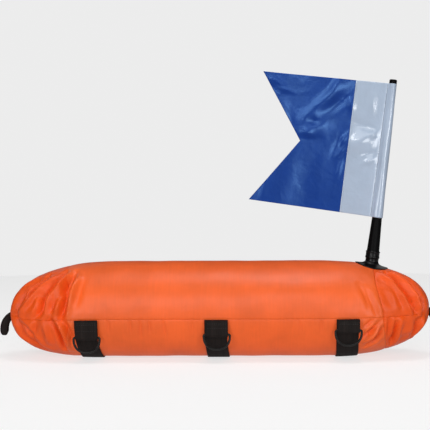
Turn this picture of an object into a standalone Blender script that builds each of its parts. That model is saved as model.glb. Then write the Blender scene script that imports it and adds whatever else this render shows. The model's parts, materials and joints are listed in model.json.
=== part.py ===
"""Dive flag float: a sewn nylon cover over an inflated bladder, with three belly straps, six
D-rings, a tow loop at each nose, and a mast that carries a swallow-tailed two-colour flag.

Metres, +Z up. The origin is on the surface that the float rests on, under the middle of its
length. +X points along the float to the end that carries the mast, and -Y is its front."""

import math

import bmesh
import bpy
from mathutils import Matrix, Vector

# Cover: a round sausage, tapered to two blunt noses and pressed flat where it rests
LEFT = -1
RIGHT = 1
COVER_LENGTH = 0.731
COVER_RADIUS = 0.084
LEFT_NOSE_DROP = 0.0059
TAPER_POWERS = {LEFT: 2.31, RIGHT: 2.29}
BELLY_PRESS = 0.004
NOSE_HOLE_RADIUS = 0.004
SIDE_SEAM_DROP = 0.0085
CLOTH = 0.0012
SEAM_GAP = 0.0005
SEAT_GAP = 0.0003
TRIM_GAP = 0.0005
WELD = 0.000003
SMOOTH_ANGLE = math.radians(40)
TOP_FACETS = 17
BELLY_FACETS = 15
END_STEPS = 6

# Shares of the cover's length: its tapers and end panels, and the places of what is set on it
TAPER_SHARES = {LEFT: 0.251710, RIGHT: 0.270862}
END_PANEL_SHARES = {LEFT: 0.151847, RIGHT: 0.121751}
STRAP_SHARES = {"left": -0.305746, "middle": -0.004788, "right": 0.298222}
VALVE_SHARE = -0.177839
MAST_SHARE = 0.363475
ZIP_SHARE = 0.478796

# Bladder and its valve
BLADDER_WALL = 0.0009
BLADDER_CLEARANCE = 0.0008
BLADDER_END_CLEARANCE = 0.005
BLADDER_END_STEPS = 6
VALVE_FACET = 4
VALVE_STEM_RADIUS = 0.0075
VALVE_BORE_RADIUS = 0.0052
VALVE_STEM_PROUD = 0.0045
VALVE_STEM_DEPTH = 0.014
VALVE_FLANGE_RADIUS = 0.0125
VALVE_FLANGE = 0.0015
GROMMET_RADIUS = 0.013
GROMMET_PROUD = 0.0016
VALVE_CAP_RADIUS = 0.009
VALVE_CAP = 0.0028
VALVE_PLUG_LENGTH = 0.008
VALVE_PLUG_TAPER = 0.0006
VALVE_CHAMFER = 0.0006

# Zip in the back of the cover, which lets the bladder in
ZIP_FACET = 1
ZIP_SLOT_WIDTH = 0.014
ZIP_CHAIN_WIDTH = 0.0056
ZIP_TOOTH_PITCH = 0.0040
ZIP_TOOTH_SHARE = 0.56
ZIP_TAPE = 0.0010
ZIP_CORD_PROUD = 0.0004
ZIP_TOOTH_PROUD = 0.0015
ZIP_STOP_LENGTH = 0.005
SLIDER_LENGTH = 0.0135
SLIDER_WIDTH = 0.0105
SLIDER_WAIST = 0.0075
SLIDER_PLATE = 0.0013
SLIDER_SKIRT_FOOT = 0.0004
PULL_LENGTH = 0.027
PULL_WIDTH = 0.0075
PULL_THICKNESS = 0.0013
PULL_PIN_RADIUS = 0.0009
CROWN_WALL = 0.0012

# Belly straps, ring keepers and D-rings
WEBBING_WIDTH = 0.038
WEBBING = 0.002
# How far below the middle of the float's side each strap's rings hang, as angles about its axis
RING_ANGLES = {"left": math.radians(25.3), "middle": math.radians(21.9), "right": math.radians(17.6)}
RING_WIRE_RADIUS = 0.002
RING_INNER_WIDTH = 0.039
RING_DROP = 0.0252
RING_POWER = 2.3
RING_CORNER_STEPS = 2
RING_BOW_STEPS = 7
KEEPER_ARC_STEPS = 7
KEEPER_RUN_OFF = math.radians(20)

# Tow loops, of tubular webbing
TOW_RADIUS = 0.0055
TOW_HALF_SPREAD = 0.009
TOW_ROOT_HALF_SPREAD = 0.0062
TOW_REACH = 0.0127
TOW_DROP = 0.0385
TOW_ROOT_INSET = 0.010
TOW_SHOULDER = 0.024
TOW_LEG_STEPS = 5
TOW_BEND_STEPS = 4

# Mast, its boot on the cover and its cap
MAST_TILT = math.radians(6.75)
BOOT_FLANGE_RADIUS = 0.0285
BOOT_FLANGE = 0.0024
BOOT_COLLAR_RADIUS = 0.0123
BOOT_COLLAR_BAND = 0.012
BOOT_NECK_RADIUS = 0.0117
BOOT_HEIGHT = 0.024
BOOT_FLOOR = 0.003
# How far out from the neck, and how high in flange thicknesses, the flange's upper face runs
FLANGE_SHARES = ((0.0625, 2.0), (0.25, 1.0), (0.625, 0.75), (1.0, 0.5))
MAST_FOOT_RADIUS = 0.0094
MAST_SHOULDER_RADIUS = 0.0109
MAST_MIDDLE_RADIUS = 0.0086
MAST_TOP_RADIUS = 0.0056
MAST_CAP_RADIUS = 0.0066
MAST_CAP_HEIGHT = 0.007
MAST_CAP_CHAMFER = 0.0012
CAP_SPIGOT_RADIUS = 0.0028
CAP_SPIGOT_LENGTH = 0.012
ROUND_STEPS = 24
PIN_STEPS = 12

# Flag
FLAG_FOOT = 0.083
FLAG_HOIST = 0.2335
FLAG_FLY = 0.2257
FLAG_END_HEIGHT = 0.224
FLAG_END_RISE = 0.0063
FLAG_NOTCH = 0.077
WHITE_WIDTH_TOP = 0.064
WHITE_WIDTH_FOOT = 0.066
FLAG_CLOTH = 0.0009
SLEEVE_CLEARANCE = 0.0005
SLEEVE_STITCH_MARGIN = 0.002
SLEEVE_HEM = 0.004
FLAG_WAVE = 0.0045
FLAG_WAVE_LENGTH = 0.150
FLAG_ROWS = 8
WHITE_STEPS = 4
SLEEVE_STEPS = 11

FABRIC_ORANGE = (0.80, 0.115, 0.030, 1.0)
WEBBING_BLACK = (0.016, 0.014, 0.013, 1.0)
FLAG_WHITE = (0.62, 0.68, 0.76, 1.0)
FLAG_BLUE = (0.016, 0.045, 0.26, 1.0)
RUBBER_BLACK = (0.012, 0.012, 0.013, 1.0)
PLASTIC_BLACK = (0.010, 0.010, 0.011, 1.0)
BLADDER_GREY = (0.42, 0.43, 0.42, 1.0)

TAPER_LENGTHS = {side: COVER_LENGTH * share for side, share in TAPER_SHARES.items()}
END_PANELS = {side: COVER_LENGTH * share for side, share in END_PANEL_SHARES.items()}
STRAP_PLACES = {name: COVER_LENGTH * share for name, share in STRAP_SHARES.items()}
NOSE_RISES = {LEFT: -LEFT_NOSE_DROP, RIGHT: 0.0}
VALVE_X = COVER_LENGTH * VALVE_SHARE
MAST_X = COVER_LENGTH * MAST_SHARE
ZIP_LENGTH = COVER_LENGTH * ZIP_SHARE
BELLY_Z = WEBBING + SEAT_GAP
CENTRE_Z = BELLY_Z + COVER_RADIUS - BELLY_PRESS
SEAM_ANGLE = math.asin(SIDE_SEAM_DROP / COVER_RADIUS)
TOP_SWEEP = math.pi + 2 * SEAM_ANGLE
BELLY_SWEEP = math.pi - 2 * SEAM_ANGLE
TOP_STEP = TOP_SWEEP / TOP_FACETS


def clear_scene():
    for old in list(bpy.data.objects):
        bpy.data.objects.remove(old, do_unlink=True)


def new_collection(name, hidden=False):
    made = bpy.data.collections.new(name)
    made.hide_render = hidden
    bpy.context.scene.collection.children.link(made)
    return made


def new_material(name, colour, roughness, metallic=0.0):
    made = bpy.data.materials.new(name)
    made.use_nodes = True
    shader = made.node_tree.nodes["Principled BSDF"]
    shader.inputs["Base Color"].default_value = colour
    shader.inputs["Roughness"].default_value = roughness
    shader.inputs["Metallic"].default_value = metallic
    made.diffuse_color = colour
    return made


def place(name, data, group, finish=None, parent=None, location=(0, 0, 0)):
    """Make a named object of a mesh or a curve and set it in its parent's frame."""
    made = bpy.data.objects.new(name, data)
    group.objects.link(made)
    if finish:
        data.materials.append(finish)
    made.parent = parent
    made.location = location
    return made


def place_cutter(name, mesh, parent=None, location=(0, 0, 0)):
    made = place(name, mesh, cutters, parent=parent, location=location)
    made.hide_render = True
    made.display_type = "WIRE"
    return made


def cut(target, cutter):
    step = target.modifiers.new("cut_" + cutter.name, "BOOLEAN")
    step.operation = "DIFFERENCE"
    step.solver = "EXACT"
    step.object = cutter


def thicken(target, thickness, offset):
    """Give an open sheet its thickness: offset 1 adds it outside, -1 inside, 0 on both sides."""
    step = target.modifiers.new("thickness", "SOLIDIFY")
    step.thickness = thickness
    step.offset = offset
    step.use_even_offset = True


def to_mesh(name, shape):
    mesh = bpy.data.meshes.new(name)
    shape.to_mesh(mesh)
    shape.free()
    mesh.shade_smooth()
    mesh.set_sharp_from_angle(angle=SMOOTH_ANGLE)
    return mesh


def loft(name, rows, ring=False, capped=False):
    """Skin a surface over rows of points. A ring row closes on itself, and caps close the ends."""
    shape = bmesh.new()
    grid = [[shape.verts.new(point) for point in row] for row in rows]
    columns = len(rows[0])
    for low, high in zip(grid, grid[1:]):
        for j in range(columns if ring else columns - 1):
            k = (j + 1) % columns
            shape.faces.new((low[j], low[k], high[k], high[j]))
    if capped:
        shape.faces.new(grid[0][::-1])
        shape.faces.new(grid[-1])
    return to_mesh(name, shape)


def turn(name, profile, steps=ROUND_STEPS, closed=False):
    """Turn (radius, height) points about Z. They end on the axis, or close off it as an outline."""
    shape = bmesh.new()
    points = [shape.verts.new((radius, 0, height)) for radius, height in profile]
    ends = points[1:] + points[:1] if closed else points[1:]
    edges = [shape.edges.new(pair) for pair in zip(points, ends)]
    bmesh.ops.spin(
        shape,
        geom=points + edges,
        cent=(0, 0, 0),
        axis=(0, 0, 1),
        angle=2 * math.pi,
        steps=steps,
        use_merge=True,
    )
    bmesh.ops.remove_doubles(shape, verts=shape.verts, dist=WELD)
    bmesh.ops.recalc_face_normals(shape, faces=shape.faces)
    return to_mesh(name, shape)


def prism(name, outline, low, high):
    """Extrude an outline of (x, y) points from one height to another."""
    shape = bmesh.new()
    face = shape.faces.new([shape.verts.new((x, y, low)) for x, y in outline])
    raised = bmesh.ops.extrude_face_region(shape, geom=[face])["geom"]
    top = [item for item in raised if isinstance(item, bmesh.types.BMVert)]
    bmesh.ops.translate(shape, verts=top, vec=(0, 0, high - low))
    bmesh.ops.recalc_face_normals(shape, faces=shape.faces)
    return to_mesh(name, shape)


def wire(name, points, radius, closed=False, resolution=2):
    """A round wire or rope on straight steps through its points."""
    curve = bpy.data.curves.new(name, "CURVE")
    curve.dimensions = "3D"
    curve.bevel_depth = radius
    curve.bevel_resolution = resolution
    curve.use_fill_caps = True
    spline = curve.splines.new("POLY")
    spline.points.add(len(points) - 1)
    for target, point in zip(spline.points, points):
        target.co = (*point, 1.0)
    spline.use_cyclic_u = closed
    return curve


def mesh_of_curve(name, curve):
    """The closed mesh of a curve, with its caps welded, so that a Boolean can cut it."""
    guide = bpy.data.objects.new(name, curve)
    bpy.context.scene.collection.objects.link(guide)
    graph = bpy.context.evaluated_depsgraph_get()
    mesh = bpy.data.meshes.new_from_object(guide.evaluated_get(graph))
    bpy.data.objects.remove(guide, do_unlink=True)
    shape = bmesh.new()
    shape.from_mesh(mesh)
    bmesh.ops.remove_doubles(shape, verts=shape.verts, dist=WELD)
    bmesh.ops.recalc_face_normals(shape, faces=shape.faces)
    shape.to_mesh(mesh)
    shape.free()
    return mesh


def smooth_share(share):
    share = min(max(share, 0.0), 1.0)
    return share * share * (3 - 2 * share)


def taper_start(side):
    return COVER_LENGTH / 2 - TAPER_LENGTHS[side]


def section(x, inset=0.0, end_inset=0.0):
    """Centre height and radius of the inflated body at a station along its length."""
    side = RIGHT if x > 0 else LEFT
    taper, power = TAPER_LENGTHS[side], TAPER_POWERS[side]
    beyond = max(abs(x) - taper_start(side), 0)
    along = min(beyond / (taper - end_inset), 1.0)
    radius = (COVER_RADIUS - inset) * (1 - along**power) ** (1 / power)
    return CENTRE_Z + NOSE_RISES[side] * smooth_share(beyond / taper), radius


def skin_point(x, angle, proud=0.0, inset=0.0, end_inset=0.0):
    """A point of the body. Angle 0 is the back, a quarter turn the top, a half turn the front."""
    centre, radius = section(x, inset, end_inset)
    reach = radius + proud
    height = centre + reach * math.sin(angle)
    return Vector((x, reach * math.cos(angle), max(height, BELLY_Z + inset - proud)))


def skin_height(x, y):
    centre, radius = section(x)
    return centre + math.sqrt(max(radius**2 - y**2, 0))


def arc_angles(first, sweep, steps):
    return [first + sweep * i / steps for i in range(steps + 1)]


def end_places(seam_x, tip_radius, steps, end_inset=0.0, full_radius=COVER_RADIUS):
    """Stations from a seam to the nose, evenly spread over the rounded end."""
    side = RIGHT if seam_x > 0 else LEFT
    start, power = taper_start(side), TAPER_POWERS[side]
    reach = TAPER_LENGTHS[side] - end_inset
    first = math.asin((max(abs(seam_x) - start, 0) / reach) ** (power / 2))
    last = math.acos((tip_radius / full_radius) ** (power / 2))
    angles = arc_angles(first, last - first, steps)
    return [side * (start + reach * math.sin(angle) ** (2 / power)) for angle in angles]


def end_seam(side):
    return side * (COVER_LENGTH / 2 - END_PANELS[side])


def body_stations():
    """Stations of the long panels: their ends, the straps' edges and middles, and the tapers' starts."""
    left, right = end_seam(LEFT), end_seam(RIGHT)
    last_edge = STRAP_PLACES["right"] + WEBBING_WIDTH / 2
    places = [left + SEAM_GAP / 2, right - SEAM_GAP / 2, (last_edge + right) / 2]
    places += [side * taper_start(side) for side in (LEFT, RIGHT)]
    for x in STRAP_PLACES.values():
        places += strap_rows(x)
    return sorted(places)


def strap_rows(x):
    return [x - WEBBING_WIDTH / 2, x, x + WEBBING_WIDTH / 2]


def make_panel(name, places, angles):
    """One sewn panel of the cover, half a seam's gap short of its two long edges."""
    rows = []
    for x in sorted(places):
        short = SEAM_GAP / 2 / section(x)[1]
        row_angles = [angles[0] + short, *angles[1:-1], angles[-1] - short]
        rows.append([skin_point(x, angle) for angle in row_angles])
    panel = place(name, loft(name, rows), parts, nylon)
    thicken(panel, CLOTH, -1)
    return panel


def panel_angles():
    """The angles of the upper and the lower panels' columns, from side seam to side seam."""
    top = arc_angles(-SEAM_ANGLE, TOP_SWEEP, TOP_FACETS)
    belly = arc_angles(math.pi + SEAM_ANGLE, BELLY_SWEEP, BELLY_FACETS)
    return top, belly


def make_cover():
    """Six sewn panels. They meet at the side seams and at the two end seams."""
    top, belly = panel_angles()
    upper = make_panel("cover_top_panel", body_stations(), top)
    make_panel("cover_belly_panel", body_stations(), belly)
    for name, side in (("left", LEFT), ("right", RIGHT)):
        places = end_places(end_seam(side) + side * SEAM_GAP / 2, NOSE_HOLE_RADIUS, END_STEPS)
        make_panel("end_panel_" + name + "_upper", places, top)
        make_panel("end_panel_" + name + "_lower", places, belly)
    return upper


def closed_body(name, places, inset, end_inset):
    """A closed form, inset from the cover's outer one, on stations from nose to nose."""
    top, belly = panel_angles()
    angles = top + belly[1:-1]
    rows = [[skin_point(x, angle, 0, inset, end_inset) for angle in angles] for x in sorted(places)]
    return loft(name, rows, ring=True, capped=True)


def clearance_body():
    """The cover's outer form grown by a gap, which trims what is sewn or set on it."""
    places = body_stations()[1:-1]
    for side in (LEFT, RIGHT):
        places += end_places(end_seam(side), NOSE_HOLE_RADIUS / 2, END_STEPS * 2, -TRIM_GAP)
    return place_cutter("cover_clearance", closed_body("cover_clearance", places, -TRIM_GAP, -TRIM_GAP))


def facet_frame(name, x, facet):
    """An empty on the middle of one facet of the top panel: local Z points out, X along the float."""
    angle = -SEAM_ANGLE + TOP_STEP * (facet + 0.5)
    reach = COVER_RADIUS * math.cos(TOP_STEP / 2)
    frame = place(name, None, parts)
    frame.location = (x, reach * math.cos(angle), CENTRE_Z + reach * math.sin(angle))
    frame.rotation_euler = (angle - math.pi / 2, 0, 0)
    return frame


def make_bladder(hole):
    """The inflated bladder, a closed skin whose one opening is the valve's."""
    inset, end_inset = CLOTH + BLADDER_CLEARANCE, BLADDER_END_CLEARANCE
    places = []
    for side in (LEFT, RIGHT):
        start = side * taper_start(side)
        full = COVER_RADIUS - inset
        places += end_places(start, NOSE_HOLE_RADIUS, BLADDER_END_STEPS, end_inset, full)
    mesh = closed_body("bladder", places, inset, end_inset)
    bladder = place("bladder", mesh, parts, bladder_film)
    thicken(bladder, BLADDER_WALL, -1)
    cut(bladder, hole)


def valve_hole(frame):
    radius = VALVE_STEM_RADIUS + SEAT_GAP
    top, foot = VALVE_CAP_RADIUS, -VALVE_STEM_DEPTH
    profile = [(0, top), (radius, top), (radius, foot), (0, foot)]
    return place_cutter("valve_hole", turn("valve_hole", profile), frame)


def make_valve(frame, trimming):
    """Stem welded in the bladder, grommet on the cover, and the cap that pulls out of the stem."""
    stem, bore, deep = VALVE_STEM_RADIUS, VALVE_BORE_RADIUS, VALVE_STEM_DEPTH
    sag = COVER_RADIUS - math.sqrt(COVER_RADIUS**2 - VALVE_FLANGE_RADIUS**2)
    flange_top = -(CLOTH + BLADDER_CLEARANCE + BLADDER_WALL + SEAT_GAP + sag)
    outline = [
        (bore, VALVE_STEM_PROUD),
        (stem, VALVE_STEM_PROUD),
        (stem, flange_top),
        (VALVE_FLANGE_RADIUS, flange_top),
        (VALVE_FLANGE_RADIUS, flange_top - VALVE_FLANGE),
        (stem, flange_top - VALVE_FLANGE),
        (stem, -deep),
        (bore, -deep),
    ]
    place("valve_base", turn("valve_base", outline, closed=True), parts, valve_vinyl, frame)

    inner = stem + SEAT_GAP
    outline = [
        (inner, GROMMET_PROUD),
        (GROMMET_RADIUS - GROMMET_PROUD / 2, GROMMET_PROUD),
        (GROMMET_RADIUS, GROMMET_PROUD / 2),
        (GROMMET_RADIUS, -sag - CLOTH),
        (inner, -sag - CLOTH),
    ]
    mesh = turn("valve_grommet", outline, closed=True)
    cut(place("valve_grommet", mesh, parts, black_plastic, frame), trimming)

    seat = VALVE_STEM_PROUD + SEAT_GAP
    plug = bore - SEAT_GAP
    profile = [
        (0, seat + VALVE_CAP),
        (VALVE_CAP_RADIUS - VALVE_CHAMFER, seat + VALVE_CAP),
        (VALVE_CAP_RADIUS, seat + VALVE_CAP - VALVE_CHAMFER),
        (VALVE_CAP_RADIUS, seat),
        (plug, seat),
        (plug - VALVE_PLUG_TAPER, seat - VALVE_PLUG_LENGTH),
        (0, seat - VALVE_PLUG_LENGTH),
    ]
    place("valve_cap", turn("valve_cap", profile), parts, valve_vinyl, frame)


def rectangle(left, right, low, high):
    return [(left, low), (right, low), (right, high), (left, high)]


def make_zip(cover, frame):
    """Tapes and toothed chain in a slot of the cover, with a slider and its pull."""
    half = ZIP_LENGTH / 2
    edge = ZIP_SLOT_WIDTH / 2
    slot = prism("zip_slot", rectangle(-half, half, -edge, edge), -edge, edge)
    cut(cover, place_cutter("zip_slot", slot, frame))

    chain_edge = ZIP_CHAIN_WIDTH / 2
    for side, low, high in (
        ("upper", -edge + SEAT_GAP, -chain_edge - SEAT_GAP),
        ("lower", chain_edge + SEAT_GAP, edge - SEAT_GAP),
    ):
        outline = rectangle(-half + SEAT_GAP, half - SEAT_GAP, low, high)
        mesh = prism("zip_tape_" + side, outline, -ZIP_TAPE, 0)
        place("zip_tape_" + side, mesh, parts, black_tape, frame)
    place("zip_chain", zip_chain_mesh(half - SEAT_GAP), parts, zip_plastic, frame)

    rest = half - ZIP_STOP_LENGTH - SLIDER_LENGTH / 2 - SEAT_GAP
    slider = place("zip_slider", slider_mesh(), parts, zip_plastic, frame, (rest, 0, 0))
    pin_height = slider_top() + pull_barrel_radius() + SEAT_GAP
    place("zip_pull", pull_mesh(), parts, zip_plastic, slider, (0, 0, pin_height))


def zip_chain_mesh(half):
    """Side view of the closed chain, a comb of teeth between two stops, extruded across it."""
    base, cord, tooth = -ZIP_TAPE, ZIP_CORD_PROUD, ZIP_TOOTH_PROUD
    inner = half - ZIP_STOP_LENGTH
    count = int(2 * inner / ZIP_TOOTH_PITCH)
    start = -count * ZIP_TOOTH_PITCH / 2
    width = ZIP_TOOTH_PITCH * ZIP_TOOTH_SHARE
    outline = [(-half, base), (half, base), (half, tooth), (inner, tooth), (inner, cord)]
    for i in reversed(range(count)):
        left = start + ZIP_TOOTH_PITCH * i + (ZIP_TOOTH_PITCH - width) / 2
        outline += [(left + width, cord), (left + width, tooth), (left, tooth), (left, cord)]
    outline += [(-inner, cord), (-inner, tooth), (-half, tooth)]
    mesh = prism("zip_chain", outline, -ZIP_CHAIN_WIDTH / 2, ZIP_CHAIN_WIDTH / 2)
    mesh.transform(Matrix.Rotation(math.pi / 2, 4, "X"))
    return mesh


def slider_top():
    return ZIP_TOOTH_PROUD + SEAT_GAP + SLIDER_PLATE


def pull_barrel_radius():
    return PULL_PIN_RADIUS + SEAT_GAP + PULL_THICKNESS / 2


def slider_mesh():
    """A waisted plate over the teeth, with a skirt at each side and two lugs for the pull's pin."""
    pin_height = slider_top() + pull_barrel_radius() + SEAT_GAP
    top, plate = slider_top(), ZIP_TOOTH_PROUD + SEAT_GAP
    long, wide, waist = SLIDER_LENGTH / 2, SLIDER_WIDTH / 2, SLIDER_WAIST / 2
    outline = [(-long, -waist), (0, -wide), (long, -wide), (long, wide), (0, wide), (-long, waist)]
    skirt = ZIP_CHAIN_WIDTH / 2 + SEAT_GAP
    body = prism("slider_plate", outline, SLIDER_SKIRT_FOOT, top)
    outline = rectangle(-SLIDER_LENGTH, SLIDER_LENGTH, -skirt, skirt)
    channel = prism("slider_channel", outline, -plate, plate)
    lug = CROWN_WALL
    gap = PULL_WIDTH / 4 + 2 * SEAT_GAP
    lug_half = PULL_PIN_RADIUS + lug / 2
    lugs = []
    for low in (-gap - lug, gap):
        outline = rectangle(-lug_half, lug_half, low, low + lug)
        lugs.append(prism("slider_lug", outline, top - lug / 2, pin_height + lug_half))
    pin = cross_pin("slider_pin", PULL_PIN_RADIUS, gap + lug / 2)
    pin.transform(Matrix.Translation((0, 0, pin_height)))
    return combine("zip_slider", body, cuts=[channel], joins=[*lugs, pin])


def cross_pin(name, radius, half):
    """A round pin that lies across the zip, along Y."""
    pin = turn(name, [(0, half), (radius, half), (radius, -half), (0, -half)], PIN_STEPS)
    pin.transform(Matrix.Rotation(math.pi / 2, 4, "X"))
    return pin


def pull_mesh():
    """A flat tab with a hanging eye at its far end and an eye for the slider's pin."""
    neck, wide = PULL_WIDTH / 4, PULL_WIDTH / 2
    shoulder = -SLIDER_LENGTH / 2
    edge = [
        (0, neck),
        (shoulder, neck),
        (shoulder - neck, wide),
        (-PULL_LENGTH + neck, wide),
        (-PULL_LENGTH, neck),
    ]
    outline = edge + [(x, -y) for x, y in reversed(edge)]
    body = prism("pull_tab", outline, -PULL_THICKNESS / 2, PULL_THICKNESS / 2)
    barrel = cross_pin("pull_barrel", pull_barrel_radius(), neck + SEAT_GAP)
    bore = cross_pin("pull_bore", PULL_PIN_RADIUS + SEAT_GAP, wide)
    hole = turn("pull_eye", [(0, wide), (neck, wide), (neck, -wide), (0, -wide)], PIN_STEPS)
    hole.transform(Matrix.Translation((-PULL_LENGTH + wide + neck / 2, 0, 0)))
    return combine("zip_pull", body, cuts=[bore, hole], joins=[barrel])


def combine(name, body, cuts=(), joins=()):
    """Join meshes to a body, then cut others from it, and return the one closed mesh."""
    target = bpy.data.objects.new(name, body)
    bpy.context.scene.collection.objects.link(target)
    tools = []
    for operation, meshes in (("UNION", joins), ("DIFFERENCE", cuts)):
        for mesh in meshes:
            tool = bpy.data.objects.new(mesh.name, mesh)
            bpy.context.scene.collection.objects.link(tool)
            tools.append(tool)
            step = target.modifiers.new(mesh.name, "BOOLEAN")
            step.operation = operation
            step.solver = "EXACT"
            step.object = tool
    graph = bpy.context.evaluated_depsgraph_get()
    made = bpy.data.meshes.new_from_object(target.evaluated_get(graph))
    for used in [target, *tools]:
        bpy.data.objects.remove(used, do_unlink=True)
    return made


def make_strap(place_name, x):
    """Webbing sewn in at both side seams and passed under the belly."""
    seam = SEAM_GAP / COVER_RADIUS
    angles = arc_angles(math.pi + SEAM_ANGLE, BELLY_SWEEP, BELLY_FACETS)
    angles = [angles[0] + seam] + angles[1:-1] + [angles[-1] - seam]
    rows = [[skin_point(row_x, angle, SEAT_GAP) for angle in angles] for row_x in strap_rows(x)]
    name = "belly_strap_" + place_name
    strap = place(name, loft(name, rows), parts, black_webbing)
    thicken(strap, WEBBING, 1)


def ring_bar(x, side, below):
    """The centre of a D-ring's straight bar, outside the strap and the keeper's inner ply."""
    centre, radius = max((section(row_x) for row_x in strap_rows(x)), key=lambda found: found[1])
    reach = radius + keeper_inner() + keeper_fold()
    return Vector((x, side * reach * math.cos(below), centre - reach * math.sin(below)))


def keeper_inner():
    """How far the middle of a keeper's inner ply lies off the cover."""
    return 2 * SEAT_GAP + WEBBING + WEBBING / 2


def keeper_fold():
    """Radius of the middle of the keeper's fold about the ring's bar."""
    return RING_WIRE_RADIUS + SEAT_GAP + WEBBING / 2


def keeper_row(x, bar, side, below):
    """The folded webbing in section: down the inner ply, round the bar, and up the outer ply."""
    centre, radius = section(x)
    first = SEAM_ANGLE + SEAM_GAP / COVER_RADIUS
    station = SEAM_ANGLE + BELLY_SWEEP / BELLY_FACETS
    fullest = math.hypot(bar.y, bar.z - centre) - keeper_inner() - keeper_fold()

    def on_ply(angle, lift, over=radius):
        reach = over + lift
        return Vector((x, side * reach * math.cos(angle), centre - reach * math.sin(angle)))

    out = Vector((0, side * math.cos(below), -math.sin(below)))
    down = Vector((0, -side * math.sin(below), -math.cos(below)))
    middle = Vector((x, bar.y, bar.z))
    row = [on_ply(first, keeper_inner()), on_ply(station, keeper_inner())]
    for angle in arc_angles(math.pi, -math.pi - KEEPER_RUN_OFF, KEEPER_ARC_STEPS):
        row.append(middle + keeper_fold() * (out * math.cos(angle) + down * math.sin(angle)))
    outer = keeper_inner() + WEBBING + SEAT_GAP
    row += [on_ply((first + station) / 2, outer, fullest), on_ply(first, outer)]
    return row if side > 0 else row[::-1]


def make_ring_and_keeper(place_name, x, side_name, side):
    """A D-ring that hangs by its straight bar, and the folded webbing that holds it."""
    below = RING_ANGLES[place_name]
    bar = ring_bar(x, side, below)
    rows = [keeper_row(row_x, bar, side, below) for row_x in strap_rows(x)]
    name = "ring_keeper_" + place_name + "_" + side_name
    keeper = place(name, loft(name, rows), parts, black_webbing)
    thicken(keeper, WEBBING, 0)

    half = RING_INNER_WIDTH / 2 + RING_WIRE_RADIUS
    corner = half - WEBBING_WIDTH / 2 - SEAT_GAP
    power = 2 / RING_POWER
    points = []
    for angle in arc_angles(math.pi / 2, -math.pi / 2, RING_CORNER_STEPS):
        points.append((half - corner + corner * math.cos(angle), 0, -corner + corner * math.sin(angle)))
    for angle in arc_angles(0, math.pi / 2, RING_BOW_STEPS)[1:]:
        across = half * max(math.cos(angle), 0) ** power
        points.append((across, 0, -corner - (RING_DROP - corner) * math.sin(angle) ** power))
    points[-1] = (0, 0, -RING_DROP)
    points += [(-px, py, pz) for px, py, pz in points[-2::-1]]
    name = "d_ring_" + place_name + "_" + side_name
    place(name, wire(name, points, RING_WIRE_RADIUS, closed=True), parts, ring_steel, location=bar)


def tow_route(side):
    """Middle line of a tow loop: out of the nose, over, down, across and back."""
    nose = COVER_LENGTH / 2
    centre = section(side * nose)[0]
    root_z = centre - TOW_RADIUS
    far = nose + TOW_REACH
    foot = root_z - TOW_DROP + TOW_RADIUS + TOW_HALF_SPREAD
    leg = []
    for angle in arc_angles(0, math.pi / 2, TOW_LEG_STEPS):
        x = nose - TOW_ROOT_INSET + (TOW_REACH + TOW_ROOT_INSET) * math.sin(angle)
        spread = TOW_ROOT_HALF_SPREAD + (TOW_HALF_SPREAD - TOW_ROOT_HALF_SPREAD) * math.sin(angle)
        leg.append(Vector((side * x, spread, root_z - TOW_SHOULDER * (1 - math.cos(angle)))))
    bend = []
    for angle in arc_angles(0, math.pi / 2, TOW_BEND_STEPS):
        spread = TOW_HALF_SPREAD * math.cos(angle)
        bend.append(Vector((side * far, spread, foot - TOW_HALF_SPREAD * math.sin(angle))))
    back = [Vector((point.x, -point.y, point.z)) for point in reversed(leg + bend[:-1])]
    return leg + bend + back


def make_tow_loop(name, side, trimming):
    mesh = mesh_of_curve(name, wire(name, tow_route(side), TOW_RADIUS))
    cut(place(name, mesh, parts, black_webbing), trimming)


def mast_matrix():
    """Frame of the mast: Z up along it, X towards the flag's fly, Y to the front."""
    along = Vector((math.sin(MAST_TILT), 0, math.cos(MAST_TILT)))
    fly = Vector((-math.cos(MAST_TILT), 0, math.sin(MAST_TILT)))
    front = along.cross(fly)
    base = Vector((MAST_X, 0, skin_height(MAST_X, 0)))
    turned = Matrix((fly, front, along)).transposed().to_4x4()
    return Matrix.Translation(base) @ turned


def boot_mesh():
    """The socket on its flange. What lies below the collar band is draped over the cover."""
    bore = MAST_FOOT_RADIUS + SEAT_GAP
    band = BOOT_HEIGHT - BOOT_COLLAR_BAND
    flare = BOOT_FLANGE_RADIUS - BOOT_NECK_RADIUS
    profile = [
        (0, BOOT_FLOOR),
        (bore, BOOT_FLOOR),
        (bore, BOOT_HEIGHT),
        (BOOT_COLLAR_RADIUS, BOOT_HEIGHT),
        (BOOT_COLLAR_RADIUS, band),
        (BOOT_NECK_RADIUS, band - BOOT_FLANGE / 2),
        *[(BOOT_NECK_RADIUS + flare * out, BOOT_FLANGE * up) for out, up in FLANGE_SHARES],
        (BOOT_FLANGE_RADIUS, 0),
        (BOOT_NECK_RADIUS + flare / 2, 0),
        (BOOT_NECK_RADIUS, 0),
        (BOOT_NECK_RADIUS / 2, 0),
        (0, 0),
    ]
    mesh = turn("mast_boot", profile)
    frame = mast_matrix()
    back = frame.inverted()
    for vertex in mesh.vertices:
        height = vertex.co.z
        pull = 1 - smooth_share((height - BOOT_FLANGE) / (band - BOOT_FLANGE))
        inside = math.hypot(vertex.co.x, vertex.co.y) < bore + SEAT_GAP
        if pull == 0 or (inside and height > 0):
            continue
        spot = frame @ vertex.co
        draped = skin_height(spot.x, spot.y) + SEAT_GAP + height
        spot.z += (draped - spot.z) * pull
        vertex.co = back @ spot
    return mesh


def mast_radius(height):
    """The mast's radius beside the flag, where it tapers to its cap."""
    share = (height - FLAG_FOOT) / FLAG_HOIST
    return MAST_MIDDLE_RADIUS + (MAST_TOP_RADIUS - MAST_MIDDLE_RADIUS) * share


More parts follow.
